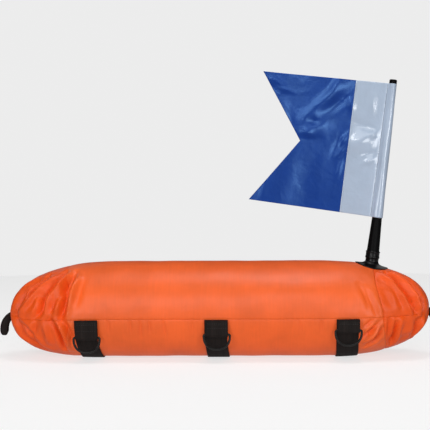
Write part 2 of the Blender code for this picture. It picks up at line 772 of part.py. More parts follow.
def make_mast(frame):
    """Boot, tapered mast and cap."""
    place("mast_boot", boot_mesh(), parts, black_rubber, frame)
    top = FLAG_FOOT + FLAG_HOIST
    foot = BOOT_FLOOR + SEAT_GAP
    shoulder = BOOT_HEIGHT + SEAT_GAP
    hole = CAP_SPIGOT_RADIUS + SEAT_GAP
    profile = [
        (0, top - CAP_SPIGOT_LENGTH - 2 * SEAT_GAP),
        (hole, top - CAP_SPIGOT_LENGTH - 2 * SEAT_GAP),
        (hole, top),
        (MAST_TOP_RADIUS, top),
        (MAST_MIDDLE_RADIUS, FLAG_FOOT),
        (MAST_SHOULDER_RADIUS, shoulder),
        (MAST_FOOT_RADIUS, shoulder),
        (MAST_FOOT_RADIUS, foot + MAST_CAP_CHAMFER),
        (MAST_FOOT_RADIUS - MAST_CAP_CHAMFER, foot),
        (0, foot),
    ]
    place("mast", turn("mast", profile), parts, black_plastic, frame)

    seat = top + SEAT_GAP
    profile = [
        (0, seat + MAST_CAP_HEIGHT),
        (MAST_CAP_RADIUS - MAST_CAP_CHAMFER, seat + MAST_CAP_HEIGHT),
        (MAST_CAP_RADIUS, seat + MAST_CAP_HEIGHT - MAST_CAP_CHAMFER),
        (MAST_CAP_RADIUS, seat),
        (CAP_SPIGOT_RADIUS, seat),
        (CAP_SPIGOT_RADIUS, seat - CAP_SPIGOT_LENGTH),
        (0, seat - CAP_SPIGOT_LENGTH),
    ]
    place("mast_cap", turn("mast_cap", profile), parts, black_plastic, frame)


def flag_wave(reach, share_up):
    """How far the cloth stands out of its plane, nothing at the mast and most at the fly."""
    along = reach / FLAG_FLY
    swing = math.sin(2 * math.pi * reach / FLAG_WAVE_LENGTH + math.pi * share_up)
    return FLAG_WAVE * along * swing


def flag_point(reach, share_up, side=0.0):
    """A point of the flag. Reach is from the mast's axis, and side is off the middle plane."""
    along = reach / FLAG_FLY
    height = FLAG_HOIST + (FLAG_END_HEIGHT - FLAG_HOIST) * along
    foot = FLAG_FOOT + FLAG_END_RISE * along
    return Vector((reach, side + flag_wave(reach, share_up), foot + height * share_up))


def white_edge(share_up):
    return WHITE_WIDTH_FOOT + (WHITE_WIDTH_TOP - WHITE_WIDTH_FOOT) * share_up


def white_row(share_up):
    """The white panel in section: in from its sewn edge, round the mast and back to its hem."""
    height = FLAG_FOOT + FLAG_HOIST * share_up
    radius = mast_radius(height) + SLEEVE_CLEARANCE + FLAG_CLOTH / 2
    stitch = radius + SLEEVE_STITCH_MARGIN
    off = (FLAG_CLOTH + SEAT_GAP) / 2
    edge = white_edge(share_up)
    steps = [(edge - stitch) * i / WHITE_STEPS for i in reversed(range(WHITE_STEPS + 1))]
    row = [flag_point(stitch + step, share_up, off) for step in steps]
    first = math.acos(radius / stitch)
    for angle in arc_angles(first, 2 * (math.pi - first), SLEEVE_STEPS):
        row.append(Vector((radius * math.cos(angle), radius * math.sin(angle), height)))
    row.append(flag_point(stitch, share_up, -off))
    row.append(flag_point(stitch + SLEEVE_HEM, share_up, -off))
    return row


def make_flag(frame):
    """The white panel, which wraps the mast, and the blue panel sewn to it, notched at its fly."""
    ups = [i / FLAG_ROWS for i in range(FLAG_ROWS + 1)]
    mesh = loft("flag_white_panel", [white_row(up) for up in ups])
    thicken(place("flag_white_panel", mesh, parts, white_cloth, frame), FLAG_CLOTH, 0)

    off = (FLAG_CLOTH + SEAT_GAP) / 2
    rows = []
    for up in ups:
        near = white_edge(up) + SEAT_GAP
        far = FLAG_FLY - FLAG_NOTCH * (1 - abs(2 * up - 1))
        rows.append([flag_point(near + (far - near) * along, up, off) for along in ups])
    mesh = loft("flag_blue_panel", rows)
    thicken(place("flag_blue_panel", mesh, parts, blue_cloth, frame), FLAG_CLOTH, 0)


clear_scene()
parts = new_collection("dive_flag_float")
cutters = new_collection("cutters", hidden=True)
nylon = new_material("orange_nylon", FABRIC_ORANGE, 0.55)
bladder_film = new_material("bladder_vinyl", BLADDER_GREY, 0.35)
valve_vinyl = new_material("valve_vinyl", BLADDER_GREY, 0.4)
black_tape = new_material("zip_tape", WEBBING_BLACK, 0.8)
zip_plastic = new_material("zip_plastic", PLASTIC_BLACK, 0.35)
black_webbing = new_material("black_webbing", WEBBING_BLACK, 0.75)
ring_steel = new_material("ring_steel", PLASTIC_BLACK, 0.4)
black_rubber = new_material("boot_rubber", RUBBER_BLACK, 0.5)
black_plastic = new_material("black_plastic", PLASTIC_BLACK, 0.35)
white_cloth = new_material("flag_white", FLAG_WHITE, 0.35)
blue_cloth = new_material("flag_blue", FLAG_BLUE, 0.3)

top_panel = make_cover()
trim_body = clearance_body()
valve_frame = facet_frame("valve_frame", VALVE_X, VALVE_FACET)
zip_frame = facet_frame("zip_frame", 0, ZIP_FACET)
bladder_hole = valve_hole(valve_frame)
cut(top_panel, bladder_hole)
make_bladder(bladder_hole)
make_valve(valve_frame, trim_body)
make_zip(top_panel, zip_frame)
for strap_name, strap_x in STRAP_PLACES.items():
    make_strap(strap_name, strap_x)
    make_ring_and_keeper(strap_name, strap_x, "front", -1)
    make_ring_and_keeper(strap_name, strap_x, "back", 1)
make_tow_loop("tow_loop_left", LEFT, trim_body)
make_tow_loop("tow_loop_right", RIGHT, trim_body)
mast_frame = place("mast_frame", None, parts)
mast_frame.matrix_world = mast_matrix()
make_mast(mast_frame)
make_flag(mast_frame)
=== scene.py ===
"""Looks of the dive flag float: the sewn nylon cover with its folds, belly straps and D-rings,
tow loops, zip and valve, and the mast in its boot with the swallow-tailed flag.

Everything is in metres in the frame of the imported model: +Z up, +X towards the mast's end, and
the front, which the camera faces, at -Y. Angles about the float's long axis start at the back
(+Y) and pass over the top (a quarter turn) to the front (a half turn)."""

import json
import logging
import math
from dataclasses import dataclass, replace
from enum import Enum
from functools import cache
from typing import Callable, Sequence

import bpy
import numpy as np
from mathutils import Matrix, Vector

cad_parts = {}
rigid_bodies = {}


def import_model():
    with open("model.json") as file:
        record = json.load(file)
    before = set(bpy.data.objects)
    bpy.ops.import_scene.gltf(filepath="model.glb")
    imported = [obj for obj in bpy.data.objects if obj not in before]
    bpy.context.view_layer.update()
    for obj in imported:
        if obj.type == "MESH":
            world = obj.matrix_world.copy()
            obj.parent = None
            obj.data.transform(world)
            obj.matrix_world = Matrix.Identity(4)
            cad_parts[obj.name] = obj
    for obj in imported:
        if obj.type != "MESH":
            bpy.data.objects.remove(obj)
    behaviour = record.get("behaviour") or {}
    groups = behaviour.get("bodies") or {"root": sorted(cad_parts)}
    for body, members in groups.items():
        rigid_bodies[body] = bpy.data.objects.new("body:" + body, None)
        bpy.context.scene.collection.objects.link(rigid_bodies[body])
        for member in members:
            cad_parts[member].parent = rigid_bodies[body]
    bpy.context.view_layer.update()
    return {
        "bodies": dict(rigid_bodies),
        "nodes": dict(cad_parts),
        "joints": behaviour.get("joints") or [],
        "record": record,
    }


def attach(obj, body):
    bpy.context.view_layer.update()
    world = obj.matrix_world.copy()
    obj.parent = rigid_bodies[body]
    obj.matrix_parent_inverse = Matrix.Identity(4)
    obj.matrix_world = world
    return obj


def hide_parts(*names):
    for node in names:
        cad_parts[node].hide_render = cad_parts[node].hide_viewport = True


LOG = logging.getLogger("dive_flag_float")
MM = 0.001
TINY = 1e-9
SEED = 41
WHITE = (1.0, 1.0, 1.0, 1.0)

Array = np.ndarray
Piece = bpy.types.Object
Material = bpy.types.Material
Node = bpy.types.Node
Tree = bpy.types.NodeTree
Socket = bpy.types.NodeSocket
Outline = Sequence[tuple[float, float]]


class Side(Enum):
    """The float's two ends, by the sign of X."""

    LEFT = -1
    RIGHT = 1


class Face(Enum):
    """The float's two long sides, by the sign of Y."""

    FRONT = -1
    BACK = 1


class Place(Enum):
    """The three belly straps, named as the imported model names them."""

    LEFT = "left"
    MIDDLE = "middle"
    RIGHT = "right"


# Finishes


def linear(colour: str) -> tuple[float, ...]:
    """Turn an sRGB hex value into linear light.

    Args:
        colour: six hex digits.

    Returns:
        Red, green, blue and alpha.
    """
    shares = [int(colour[i : i + 2], 16) / 255 for i in (0, 2, 4)]
    return (*[s / 12.92 if s <= 0.04045 else ((s + 0.055) / 1.055) ** 2.4 for s in shares], 1.0)


def add_node(tree: Tree, kind: str, inputs: dict, **settings: object) -> Node:
    """Add a node with its settings, and its inputs' values and links.

    Args:
        tree: the material's node tree.
        kind: Blender's name of the node.
        inputs: a value, or an output to link, for each input's name or number.
        settings: properties of the node itself.

    Returns:
        The new node.
    """
    made = tree.nodes.new(kind)
    for name, value in settings.items():
        setattr(made, name, value)
    for key, value in inputs.items():
        if isinstance(value, Socket):
            tree.links.new(value, made.inputs[key])
        else:
            made.inputs[key].default_value = value
    return made


def shaded(name: str, values: dict) -> tuple[Material, Node]:
    """Make a material and set its shader's values.

    Args:
        name: the material's name.
        values: the values of the shader's inputs, by their names.

    Returns:
        The material and its shader.
    """
    made = bpy.data.materials.new(name)
    made.use_nodes = True
    shader = made.node_tree.nodes["Principled BSDF"]
    for key, value in values.items():
        shader.inputs[key].default_value = value
    return made, shader


@dataclass(frozen=True)
class Finish:
    """A moulded or coated surface: how it scatters light, its mottled colour and its grain."""

    name: str
    colour: str
    roughness: float
    specular: float = 0.5
    coat: float = 0.0
    coat_roughness: float = 0.1
    tint: str = "FFFFFF"
    mottle: float = 0.06
    mottle_size: float = 30 * MM
    grain: float = 0.4 * MM
    grain_depth: float = 0.02 * MM
    noise_low: float = 0.3
    noise_high: float = 0.7

    def make(self) -> Material:
        """Make the material, with the values that are the same all over and its surface.

        Returns:
            The material.
        """
        values = {
            "Roughness": self.roughness,
            "Specular IOR Level": self.specular,
            "Specular Tint": linear(self.tint),
            "Coat Weight": self.coat,
            "Coat Roughness": self.coat_roughness,
        }
        made, shader = shaded(self.name, values)
        made.diffuse_color = linear(self.colour)
        colour, normal = self.surface(made.node_tree)
        made.node_tree.links.new(colour, shader.inputs["Base Color"])
        made.node_tree.links.new(normal, shader.inputs["Normal"])
        return made

    def varied(self, tree: Tree, colour: object, noise: Socket, amount: float) -> Socket:
        """Lighten and darken a colour by a noise.

        Args:
            tree: the material's node tree.
            colour: the colour, as a value or an output.
            noise: the noise's output.
            amount: the share by which the colour changes at most.

        Returns:
            The changed colour.
        """
        inputs = {0: noise, 1: self.noise_low, 2: self.noise_high, 3: 1 - amount, 4: 1 + amount}
        value = add_node(tree, "ShaderNodeMapRange", inputs).outputs[0]
        inputs = {"Color": colour, "Value": value, "Fac": 1.0}
        return add_node(tree, "ShaderNodeHueSaturation", inputs).outputs[0]

    def mottled(self, tree: Tree, where: Socket) -> Socket:
        """Colour that wanders a little about the finish's own, as dye and handling leave it.

        Args:
            tree: the material's node tree.
            where: coordinates in metres.

        Returns:
            The colour.
        """
        inputs = {"Vector": where, "Scale": 1 / self.mottle_size, "Detail": 3.0}
        cloud = add_node(tree, "ShaderNodeTexNoise", inputs).outputs[0]
        return self.varied(tree, linear(self.colour), cloud, self.mottle)

    def surface(self, tree: Tree) -> tuple[Socket, Socket]:
        """Mottled colour and a fine grain.

        Args:
            tree: the material's node tree.

        Returns:
            The colour and the normal.
        """
        where = add_node(tree, "ShaderNodeTexCoord", {}).outputs["Object"]
        inputs = {"Vector": where, "Scale": 1 / self.grain, "Detail": 4.0}
        grain = add_node(tree, "ShaderNodeTexNoise", inputs).outputs[0]
        inputs = {"Height": grain, "Distance": self.grain_depth, "Strength": 1.0}
        return self.mottled(tree, where), add_node(tree, "ShaderNodeBump", inputs).outputs[0]


@dataclass(frozen=True)
class Woven(Finish):
    """A woven cloth or tape. Its threads follow the cloth's own coordinates, kept in metres."""

    warp: float = 2.2 * MM
    weft: float = 2.2 * MM
    thread_depth: float = 0.05 * MM
    streak: float = 0.03
    streak_width: float = 3.5 * MM
    streak_length: float = 70 * MM
    crumple: float = 0.0
    crumple_size: float = 14 * MM
    # A wave texture at scale 1 repeats after this many metres
    wave_period: float = math.pi / 10

    def threads(self, tree: Tree, where: Socket, spacing: float, direction: str) -> Socket:
        """Rounded threads side by side.

        Args:
            tree: the material's node tree.
            where: the cloth's coordinates in metres.
            spacing: from thread to thread, in metres.
            direction: the axis, X or Y, that the threads lie across.

        Returns:
            Their height, from 0 to 1.
        """
        inputs = {"Vector": where, "Scale": self.wave_period / spacing, "Distortion": 0.0}
        made = add_node(tree, "ShaderNodeTexWave", inputs, bands_direction=direction)
        return made.outputs["Fac"]

    def surface(self, tree: Tree) -> tuple[Socket, Socket]:
        """Crossed threads, streaks along the warp, mottled dye and small crumples.

        Args:
            tree: the material's node tree.

        Returns:
            The colour and the normal.
        """
        where = add_node(tree, "ShaderNodeTexCoord", {}).outputs["UV"]
        body = add_node(tree, "ShaderNodeTexCoord", {}).outputs["Object"]
        across = self.threads(tree, where, self.warp, "X")
        along = self.threads(tree, where, self.weft, "Y")
        weave = add_node(tree, "ShaderNodeMath", {0: across, 1: along}, operation="MAXIMUM")
        scale = (1 / self.streak_width, 1 / self.streak_length, 1.0)
        drawn = add_node(tree, "ShaderNodeMapping", {"Vector": where, "Scale": scale}).outputs[0]
        streaks = add_node(tree, "ShaderNodeTexNoise", {"Vector": drawn, "Scale": 1.0}).outputs[0]
        colour = self.varied(tree, self.mottled(tree, body), streaks, self.streak)
        inputs = {"Vector": body, "Scale": 1 / self.crumple_size, "Detail": 2.0, "Distortion": 0.4}
        crumple = add_node(tree, "ShaderNodeTexNoise", inputs).outputs[0]
        inputs = {"Height": crumple, "Distance": self.crumple, "Strength": 1.0}
        raised = add_node(tree, "ShaderNodeBump", inputs).outputs[0]
        inputs = {"Height": weave.outputs[0], "Distance": self.thread_depth, "Normal": raised}
        bump = add_node(tree, "ShaderNodeBump", {**inputs, "Strength": 1.0})
        return colour, bump.outputs[0]


@dataclass(frozen=True)
class Backlit:
    """A matt acrylic sheet that is lit from behind."""

    name: str
    colour: str
    glow: float

    def make(self) -> Material:
        """Make the material.

        Returns:
            The material.
        """
        values = {
            "Base Color": linear(self.colour),
            "Roughness": 0.95,
            "Specular IOR Level": 0.1,
            "Emission Color": WHITE,
            "Emission Strength": self.glow,
        }
        return shaded(self.name, values)[0]


Look = Finish | Backlit


@cache
def material_of(finish: Look) -> Material:
    """The material of a finish, made when it is first asked for."""
    return finish.make()


# 420-denier nylon, polyurethane coated inside: a soft satin sheen over a plain weave. The real
# threads are 0.5 mm apart, and are drawn at 2.2 mm so that they show.
NYLON = Woven(
    "coated_nylon_orange",
    "ED6227",
    0.42,
    specular=0.34,
    mottle=0.085,
    mottle_size=52 * MM,
    thread_depth=0.015 * MM,
    streak=0.022,
    streak_width=3.4 * MM,
    streak_length=38 * MM,
    crumple=0.75 * MM,
    crumple_size=27 * MM,
)
# The ends use a darker, redder copy of the same cloth with less sheen: painted shade, as the tapered
# ends turn away from the light
NYLON_ENDS_PAINTED_SHADE = replace(NYLON, name="coated_nylon_orange_ends", colour="EC571A", specular=0.26)
# Twisted polyester threads, on the cover and on the flag
SEAM_THREAD = Finish("polyester_thread_orange", "DC6038", 0.6, specular=0.3)
FLAG_EDGE_THREAD = Finish("polyester_thread_white", "B4BFCE", 0.6, specular=0.2)
# The sleeve's thread is dark grey: partly the thread's own colour, partly painted shade of the crease
# along the sleeve's seam
FLAG_THREAD_AND_CREASE_SHADE = Finish("polyester_thread_grey", "5C6474", 0.6, specular=0.2)
# Nylon webbing: ribs 2.6 mm apart along its length, dull, with streaks of lint that grey it
WEBBING = Woven(
    "nylon_webbing_black",
    "1D1715",
    0.72,
    specular=0.15,
    mottle=0.12,
    warp=2.6 * MM,
    weft=1.5 * MM,
    thread_depth=0.3 * MM,
    streak=0.4,
    streak_width=3.6 * MM,
    streak_length=300 * MM,
)
# Bonded nylon thread, a little lighter than the webbing that it sews
WEB_THREAD = Finish("bonded_thread_black", "2B2826", 0.6, specular=0.3)
# Bent steel wire, powder coated: slightly dimpled satin black
RING = Finish("powder_coated_steel", "13110F", 0.38, specular=0.26, grain=1.1 * MM)
# Moulded rubber, released with a dull bloom
RUBBER = Finish(
    "moulded_rubber_black", "070708", 0.3, 0.2, mottle=0.15, mottle_size=9 * MM, grain=0.8 * MM
)
# Moulded ABS with a fine spark-eroded grain
MOULDED = Finish("moulded_abs_black", "040405", 0.5, specular=0.08, grain=0.6 * MM)
# Moulded acetal: harder and glossier
ACETAL = Finish("moulded_acetal_black", "161617", 0.42, specular=0.45, grain=0.5 * MM)
# Polyester zip tape, closely woven and dull
TAPE = Woven(
    "polyester_tape_black",
    "201D1C",
    0.8,
    specular=0.2,
    warp=1.2 * MM,
    weft=1.2 * MM,
    thread_depth=0.08 * MM,
)
# Welded and dipped vinyl: smooth and slightly waxy
VINYL = Finish("welded_vinyl_grey", "AEB0AD", 0.35, specular=0.5, mottle=0.03, grain=1.5 * MM)
# Vinyl-coated polyester flag cloth: the weave shows faintly under a clear glossy coat
FLAG_WHITE = Woven(
    "coated_flag_cloth_white",
    "ABBACE",
    0.5,
    specular=0.12,
    coat=0.85,
    coat_roughness=0.15,
    mottle=0.03,
    warp=1.6 * MM,
    weft=1.6 * MM,
    thread_depth=0.012 * MM,
    streak=0.01,
    crumple=0.8 * MM,
    crumple_size=22 * MM,
)
# The same cloth dyed through its coat, so that its gloss is tinted too
FLAG_BLUE = replace(
    FLAG_WHITE,
    name="coated_flag_cloth_blue",
    colour="0B3083",
    roughness=0.3,
    specular=0.78,
    tint="8CC4FF",
    coat=0.0,
    coat_roughness=0.1,
    mottle=0.06,
    streak=0.02,
    crumple=0.6 * MM,
    crumple_size=19 * MM,
)


# Mesh making


def placed(name: str, data: bpy.types.ID) -> Piece:
    """Put a mesh, a lamp or a camera into the scene.

    Args:
        name: the object's name.
        data: the mesh, lamp or camera.

    Returns:
        The object.
    """
    made = bpy.data.objects.new(name, data)
    bpy.context.scene.collection.objects.link(made)
    return made


def mesh_object(name: str, points: Array, faces: Array, marks: Array, finish: Look) -> Piece:
    """Make an object of four-sided faces.

    Args:
        name: the piece's name.
        points: its vertices, N by 3.
        faces: four vertex numbers a face.
        marks: the cloth's coordinates in metres of each face's corners, faces by 4 by 2.
        finish: its finish.

    Returns:
        The object, smooth shaded.
    """
    mesh = bpy.data.meshes.new(name)
    mesh.vertices.add(len(points))
    mesh.vertices.foreach_set("co", points.astype(np.float32).ravel())
    mesh.loops.add(faces.size)
    mesh.loops.foreach_set("vertex_index", faces.astype(np.int32).ravel())
    mesh.polygons.add(len(faces))
    mesh.polygons.foreach_set("loop_start", np.arange(0, faces.size, 4, dtype=np.int32))
    layer = mesh.uv_layers.new(name="cloth")
    mesh.update(calc_edges=True)
    layer.data.foreach_set("uv", marks.astype(np.float32).ravel())
    mesh.validate()
    mesh.shade_smooth()
    mesh.materials.append(material_of(finish))
    return placed(name, mesh)


def corners_of(grid: Array) -> Array:
    """What a grid holds at the four corners of each of its faces, on a new third axis."""
    return np.stack([grid[:-1, :-1], grid[:-1, 1:], grid[1:, 1:], grid[1:, :-1]], axis=2)


def grid_object(
    name: str,
    rows: Array,
    marks: Array,
    finish: Look,
    around: bool = False,
    along: bool = False,
    keep: Array | None = None,
) -> Piece:
    """Skin a grid of points.

    Args:
        name: the piece's name.
        rows: points, rows by columns by 3.
        marks: the cloth's coordinates in metres, of rows by columns, with a last column or row
            more where the grid closes on itself.
        finish: its finish.
        around: whether each row closes on itself.
        along: whether the last row meets the first.
        keep: which faces stay, if not all.

    Returns:
        The object.
    """
    numbers = np.arange(rows.shape[0] * rows.shape[1]).reshape(rows.shape[:2])
    numbers = np.pad(numbers, ((0, int(along)), (0, int(around))), mode="wrap")
    faces, spots = corners_of(numbers).reshape(-1, 4), corners_of(marks).reshape(-1, 4, 2)
    if keep is not None:
        faces, spots = faces[keep.ravel()], spots[keep.ravel()]
    return mesh_object(name, rows.reshape(-1, 3), faces, spots, finish)


def unit(vectors: Array) -> Array:
    """The vectors on an array's last axis, each brought to a length of 1."""
    return vectors / np.linalg.norm(vectors, axis=-1, keepdims=True)


def full_turn(steps: int) -> Array:
    """Angles once round, without the last one, which is the first again."""
    return np.linspace(0, 2 * math.pi, steps, endpoint=False)


def turned_from(start: float, angle: Array) -> Array:
    """How far angles lie from a first one, the shorter way round."""
    return np.abs((angle - start + math.pi) % (2 * math.pi) - math.pi)


def from_to(first: float, last: float, share: Array | float) -> Array | float:
    """A value that goes evenly from a first one to a last one."""
    return first + (last - first) * share


def spaced(stops: Sequence[float], step: float, whole: Callable[[float], int]) -> Array:
    """Places from stop to stop, evenly spaced between each two.

    Args:
        stops: rising places, which all stay.
        step: about how far apart the places are.
        whole: what makes a number of steps whole.

    Returns:
        The places, rising.
    """
    spans = [(low, high, whole((high - low) / step)) for low, high in zip(stops, stops[1:])]
    parts = [np.linspace(low, high, count + 1)[:-1] for low, high, count in spans]
    return np.concatenate([*parts, stops[-1:]])


def smooth_share(value: Array | float) -> Array:
    """Ease a share from 0 to 1, level at both."""
    share = np.clip(value, 0.0, 1.0)
    return share * share * (3 - 2 * share)


def distances(points: Array) -> Array:
    """How far along a line of points each one lies."""
    steps = np.linalg.norm(np.diff(points, axis=0), axis=1)
    return np.concatenate([[0.0], np.cumsum(steps)])


def cloth_marks(across: Array, along: Array) -> Array:
    """The cloth's coordinates in metres over a grid, from those of its columns and rows."""
    return np.stack(np.broadcast_arrays(across, along), -1)


def section_marks(section: Array, lengths: Array) -> Array:
    """Cloth coordinates for a closed section that is swept along a line.

    Args:
        section: its outline's points.
        lengths: how far along the line each row lies.

    Returns:
        Coordinates in metres, across first, then along.
    """
    closed = np.concatenate([section, section[:1]])
    return cloth_marks(distances(closed)[None], lengths[:, None])


def band_section(width: float, thickness: float, steps: int, corner: int = 4) -> Array:
    """The outline of webbing in section, with round edges.

    Args:
        width: from edge to edge, in metres.
        thickness: from face to face, in metres.
        steps: how many steps cross a face.
        corner: how many steps turn each edge.

    Returns:
        (across, out) points, in order, round the section.
    """
    half, edge = width / 2, thickness / 2
    face = np.linspace(-half + edge, half - edge, steps + 1)
    turn = np.linspace(math.pi / 2, -math.pi / 2, corner + 1)[1:-1]
    right = np.stack([half - edge + edge * np.cos(turn), edge * np.sin(turn)], -1)
    top = np.stack([face, np.full_like(face, edge)], -1)
    foot = np.stack([face[::-1], np.full_like(face, -edge)], -1)
    return np.concatenate([top, right, foot, -right])


def wire_ring(
    name: str, path: Array, radius: float, out: Sequence[float], finish: Finish, sides: int = 14
) -> Piece:
    """A round wire bent to a closed ring.

    Args:
        name: the piece's name.
        path: its middle line, which meets its own start.
        radius: of the wire.
        out: a direction that the path never runs along.
        finish: its finish.
        sides: of its section.

    Returns:
        The object.
    """
    tangent = unit(np.roll(path, -1, axis=0) - np.roll(path, 1, axis=0))
    first = unit(np.cross(tangent, np.asarray(out, float)))
    second = np.cross(tangent, first)
    cos, sin = np.cos(full_turn(sides)), np.sin(full_turn(sides))
    rows = first[:, None] * cos[:, None] + second[:, None] * sin[:, None]
    lengths = distances(np.concatenate([path, path[:1]]))
    marks = section_marks(radius * np.stack([cos, sin], -1), lengths)
    return grid_object(name, path[:, None] + radius * rows, marks, finish, True, True)


def turned(
    name: str, profile: Outline, finish: Look, sides: int = 56, pole: float = 0.02 * MM
) -> Piece:
    """Turn a profile about Z.

    Args:
        name: the piece's name.
        profile: (radius, height) points.
        finish: its finish.
        sides: round it.
        pole: the least radius, so that no face shrinks to a point on the axis.

    Returns:
        The object.
    """
    line = np.asarray(profile, float)
    turn = full_turn(sides)
    reach = np.maximum(line[:, 0], pole)[:, None]
    height = np.broadcast_to(line[:, 1:], (len(line), sides))
    rows = np.stack([reach * np.cos(turn), reach * np.sin(turn), height], -1)
    across = np.linspace(0, 2 * math.pi * line[:, 0].max(), sides + 1)
    return grid_object(name, rows, cloth_marks(across, distances(line)[:, None]), finish, True)


def rounded(profile: Outline, radius: float, steps: int = 3, most: float = 0.45) -> list[Array]:
    """Round the inner corners of a profile.

    Args:
        profile: (radius, height) points.
        radius: how far from a corner the rounding starts, where its sides are long enough.
        steps: how many steps turn a corner.
        most: the largest share of a side that a rounding takes.

    Returns:
        The points with each corner replaced by a curve.
    """
    line = [np.asarray(point, float) for point in profile]
    made = [line[0]]
    for before, corner, after in zip(line, line[1:], line[2:]):
        start, end = (
            corner + unit(far - corner) * min(radius, np.linalg.norm(far - corner) * most)
            for far in (before, after)
        )
        for share in np.linspace(0, 1, steps + 1):
            bend = corner * 2 * share * (1 - share)
            made.append(start * (1 - share) ** 2 + bend + end * share**2)
    return [*made, line[-1]]


@dataclass(frozen=True)
class Stitch:
    """One stitch of a seam: a short hump of thread that dips into the cloth at both ends.

    It covers shown_share of the pitch, rises and sinks by shares of the thread's radius, and its
    ends are thinner by thin_share.
    """

    pitch: float = 3.2 * MM
    shown_share: float = 0.72
    radius: float = 0.3 * MM
    rise_share: float = 1.1
    sink_share: float = 0.55
    thin_share: float = 0.45
    sides: int = 6
    rings: int = 5

    def row(self, name: str, path: Array, out: Array, finish: Finish) -> Piece:
        """A row of stitches.

        Args:
            name: the piece's name.
            path: the row's line.
            out: the cloth's outward direction at each of its points.
            finish: the thread's finish.

        Returns:
            One object with every stitch.
        """
        lengths = distances(path)
        count = max(int(lengths[-1] / self.pitch), 1)
        cos, sin = np.cos(full_turn(self.sides))[:, None], np.sin(full_turn(self.sides))[:, None]
        hump = np.sin(np.linspace(0, math.pi, self.rings))
        lifts = self.radius * (hump * self.rise_share - self.sink_share)
        thick = self.radius * (1 - self.thin_share + self.thin_share * hump)
        grids = []
        for middle in (np.arange(count) + 0.5) * lengths[-1] / count:
            places = middle + np.linspace(-0.5, 0.5, self.rings) * self.pitch * self.shown_share
            spine, lift = (
                np.stack([np.interp(places, lengths, line[:, k]) for k in range(3)], -1)
                for line in (path, out)
            )
            lift = unit(lift)
            cross = np.cross(lift, unit(spine[-1] - spine[0]))
            spine = spine + lift * lifts[:, None]
            ring = cross[:, None] * cos + lift[:, None] * sin
            grids.append(spine[:, None] + thick[:, None, None] * ring)
        size = self.rings * self.sides
        numbers = np.arange(size).reshape(self.rings, self.sides)
        one = corners_of(np.pad(numbers, ((0, 0), (0, 1)), mode="wrap")).reshape(-1, 4)
        faces = np.concatenate([one + number * size for number in range(count)])
        return mesh_object(
            name, np.reshape(grids, (-1, 3)), faces, np.zeros((len(faces), 4, 2)), finish
        )


def move(piece: Piece, matrix: Matrix) -> Piece:
    """Set a piece's mesh in place, and return the piece."""
    piece.data.transform(matrix)
    return piece


def join(name: str, pieces: Sequence[Piece]) -> Piece:
    """Join pieces into the first one, under a new name.

    Args:
        name: the joined piece's name.
        pieces: the objects to join.

    Returns:
        The joined object.
    """
    first = pieces[0]
    with bpy.context.temp_override(
        active_object=first, selected_editable_objects=list(pieces), object=first
    ):
        bpy.ops.object.join()
    first.name = name
    first.data.name = name
    return first


def settle(piece: Piece, body: str, slot: str, *nodes: str) -> Piece:
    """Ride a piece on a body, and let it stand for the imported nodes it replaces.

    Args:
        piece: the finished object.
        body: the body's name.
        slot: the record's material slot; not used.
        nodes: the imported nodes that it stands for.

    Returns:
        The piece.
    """
    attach(piece, body)
    if nodes:
        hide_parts(*nodes)
    LOG.info("%s rides on %s", piece.name, body)
    return piece


def dress(node: Piece, finish: Finish, bevel: float) -> None:
    """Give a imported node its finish, and break its sharp edges.

    Args:
        node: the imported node's object.
        finish: its finish.
        bevel: how wide its broken edges are.
    """
    node.data.materials.clear()
    node.data.materials.append(material_of(finish))
    step = node.modifiers.new("broken_edges", "BEVEL")
    step.width = bevel
    step.segments = 2
    step.limit_method = "ANGLE"
    step.angle_limit = math.radians(40)
    step.use_clamp_overlap = True
    step.harden_normals = True
    LOG.info("%s has its finish", node.name)


# The float's form


@dataclass(frozen=True)
class Taper:
    """One tapered end: its length, how blunt it is, its nose's rise and its end seam.

    The seam's places are given by how many degrees round from the top they lie.
    """

    side: Side
    length: float
    power: float
    rise: float
    seam: float
    seam_turns: tuple[float, ...]
    seam_places: tuple[float, ...]

    @property
    def name(self) -> str:
        """The end's name, as the names of its pieces have it."""
        return self.side.name.lower()


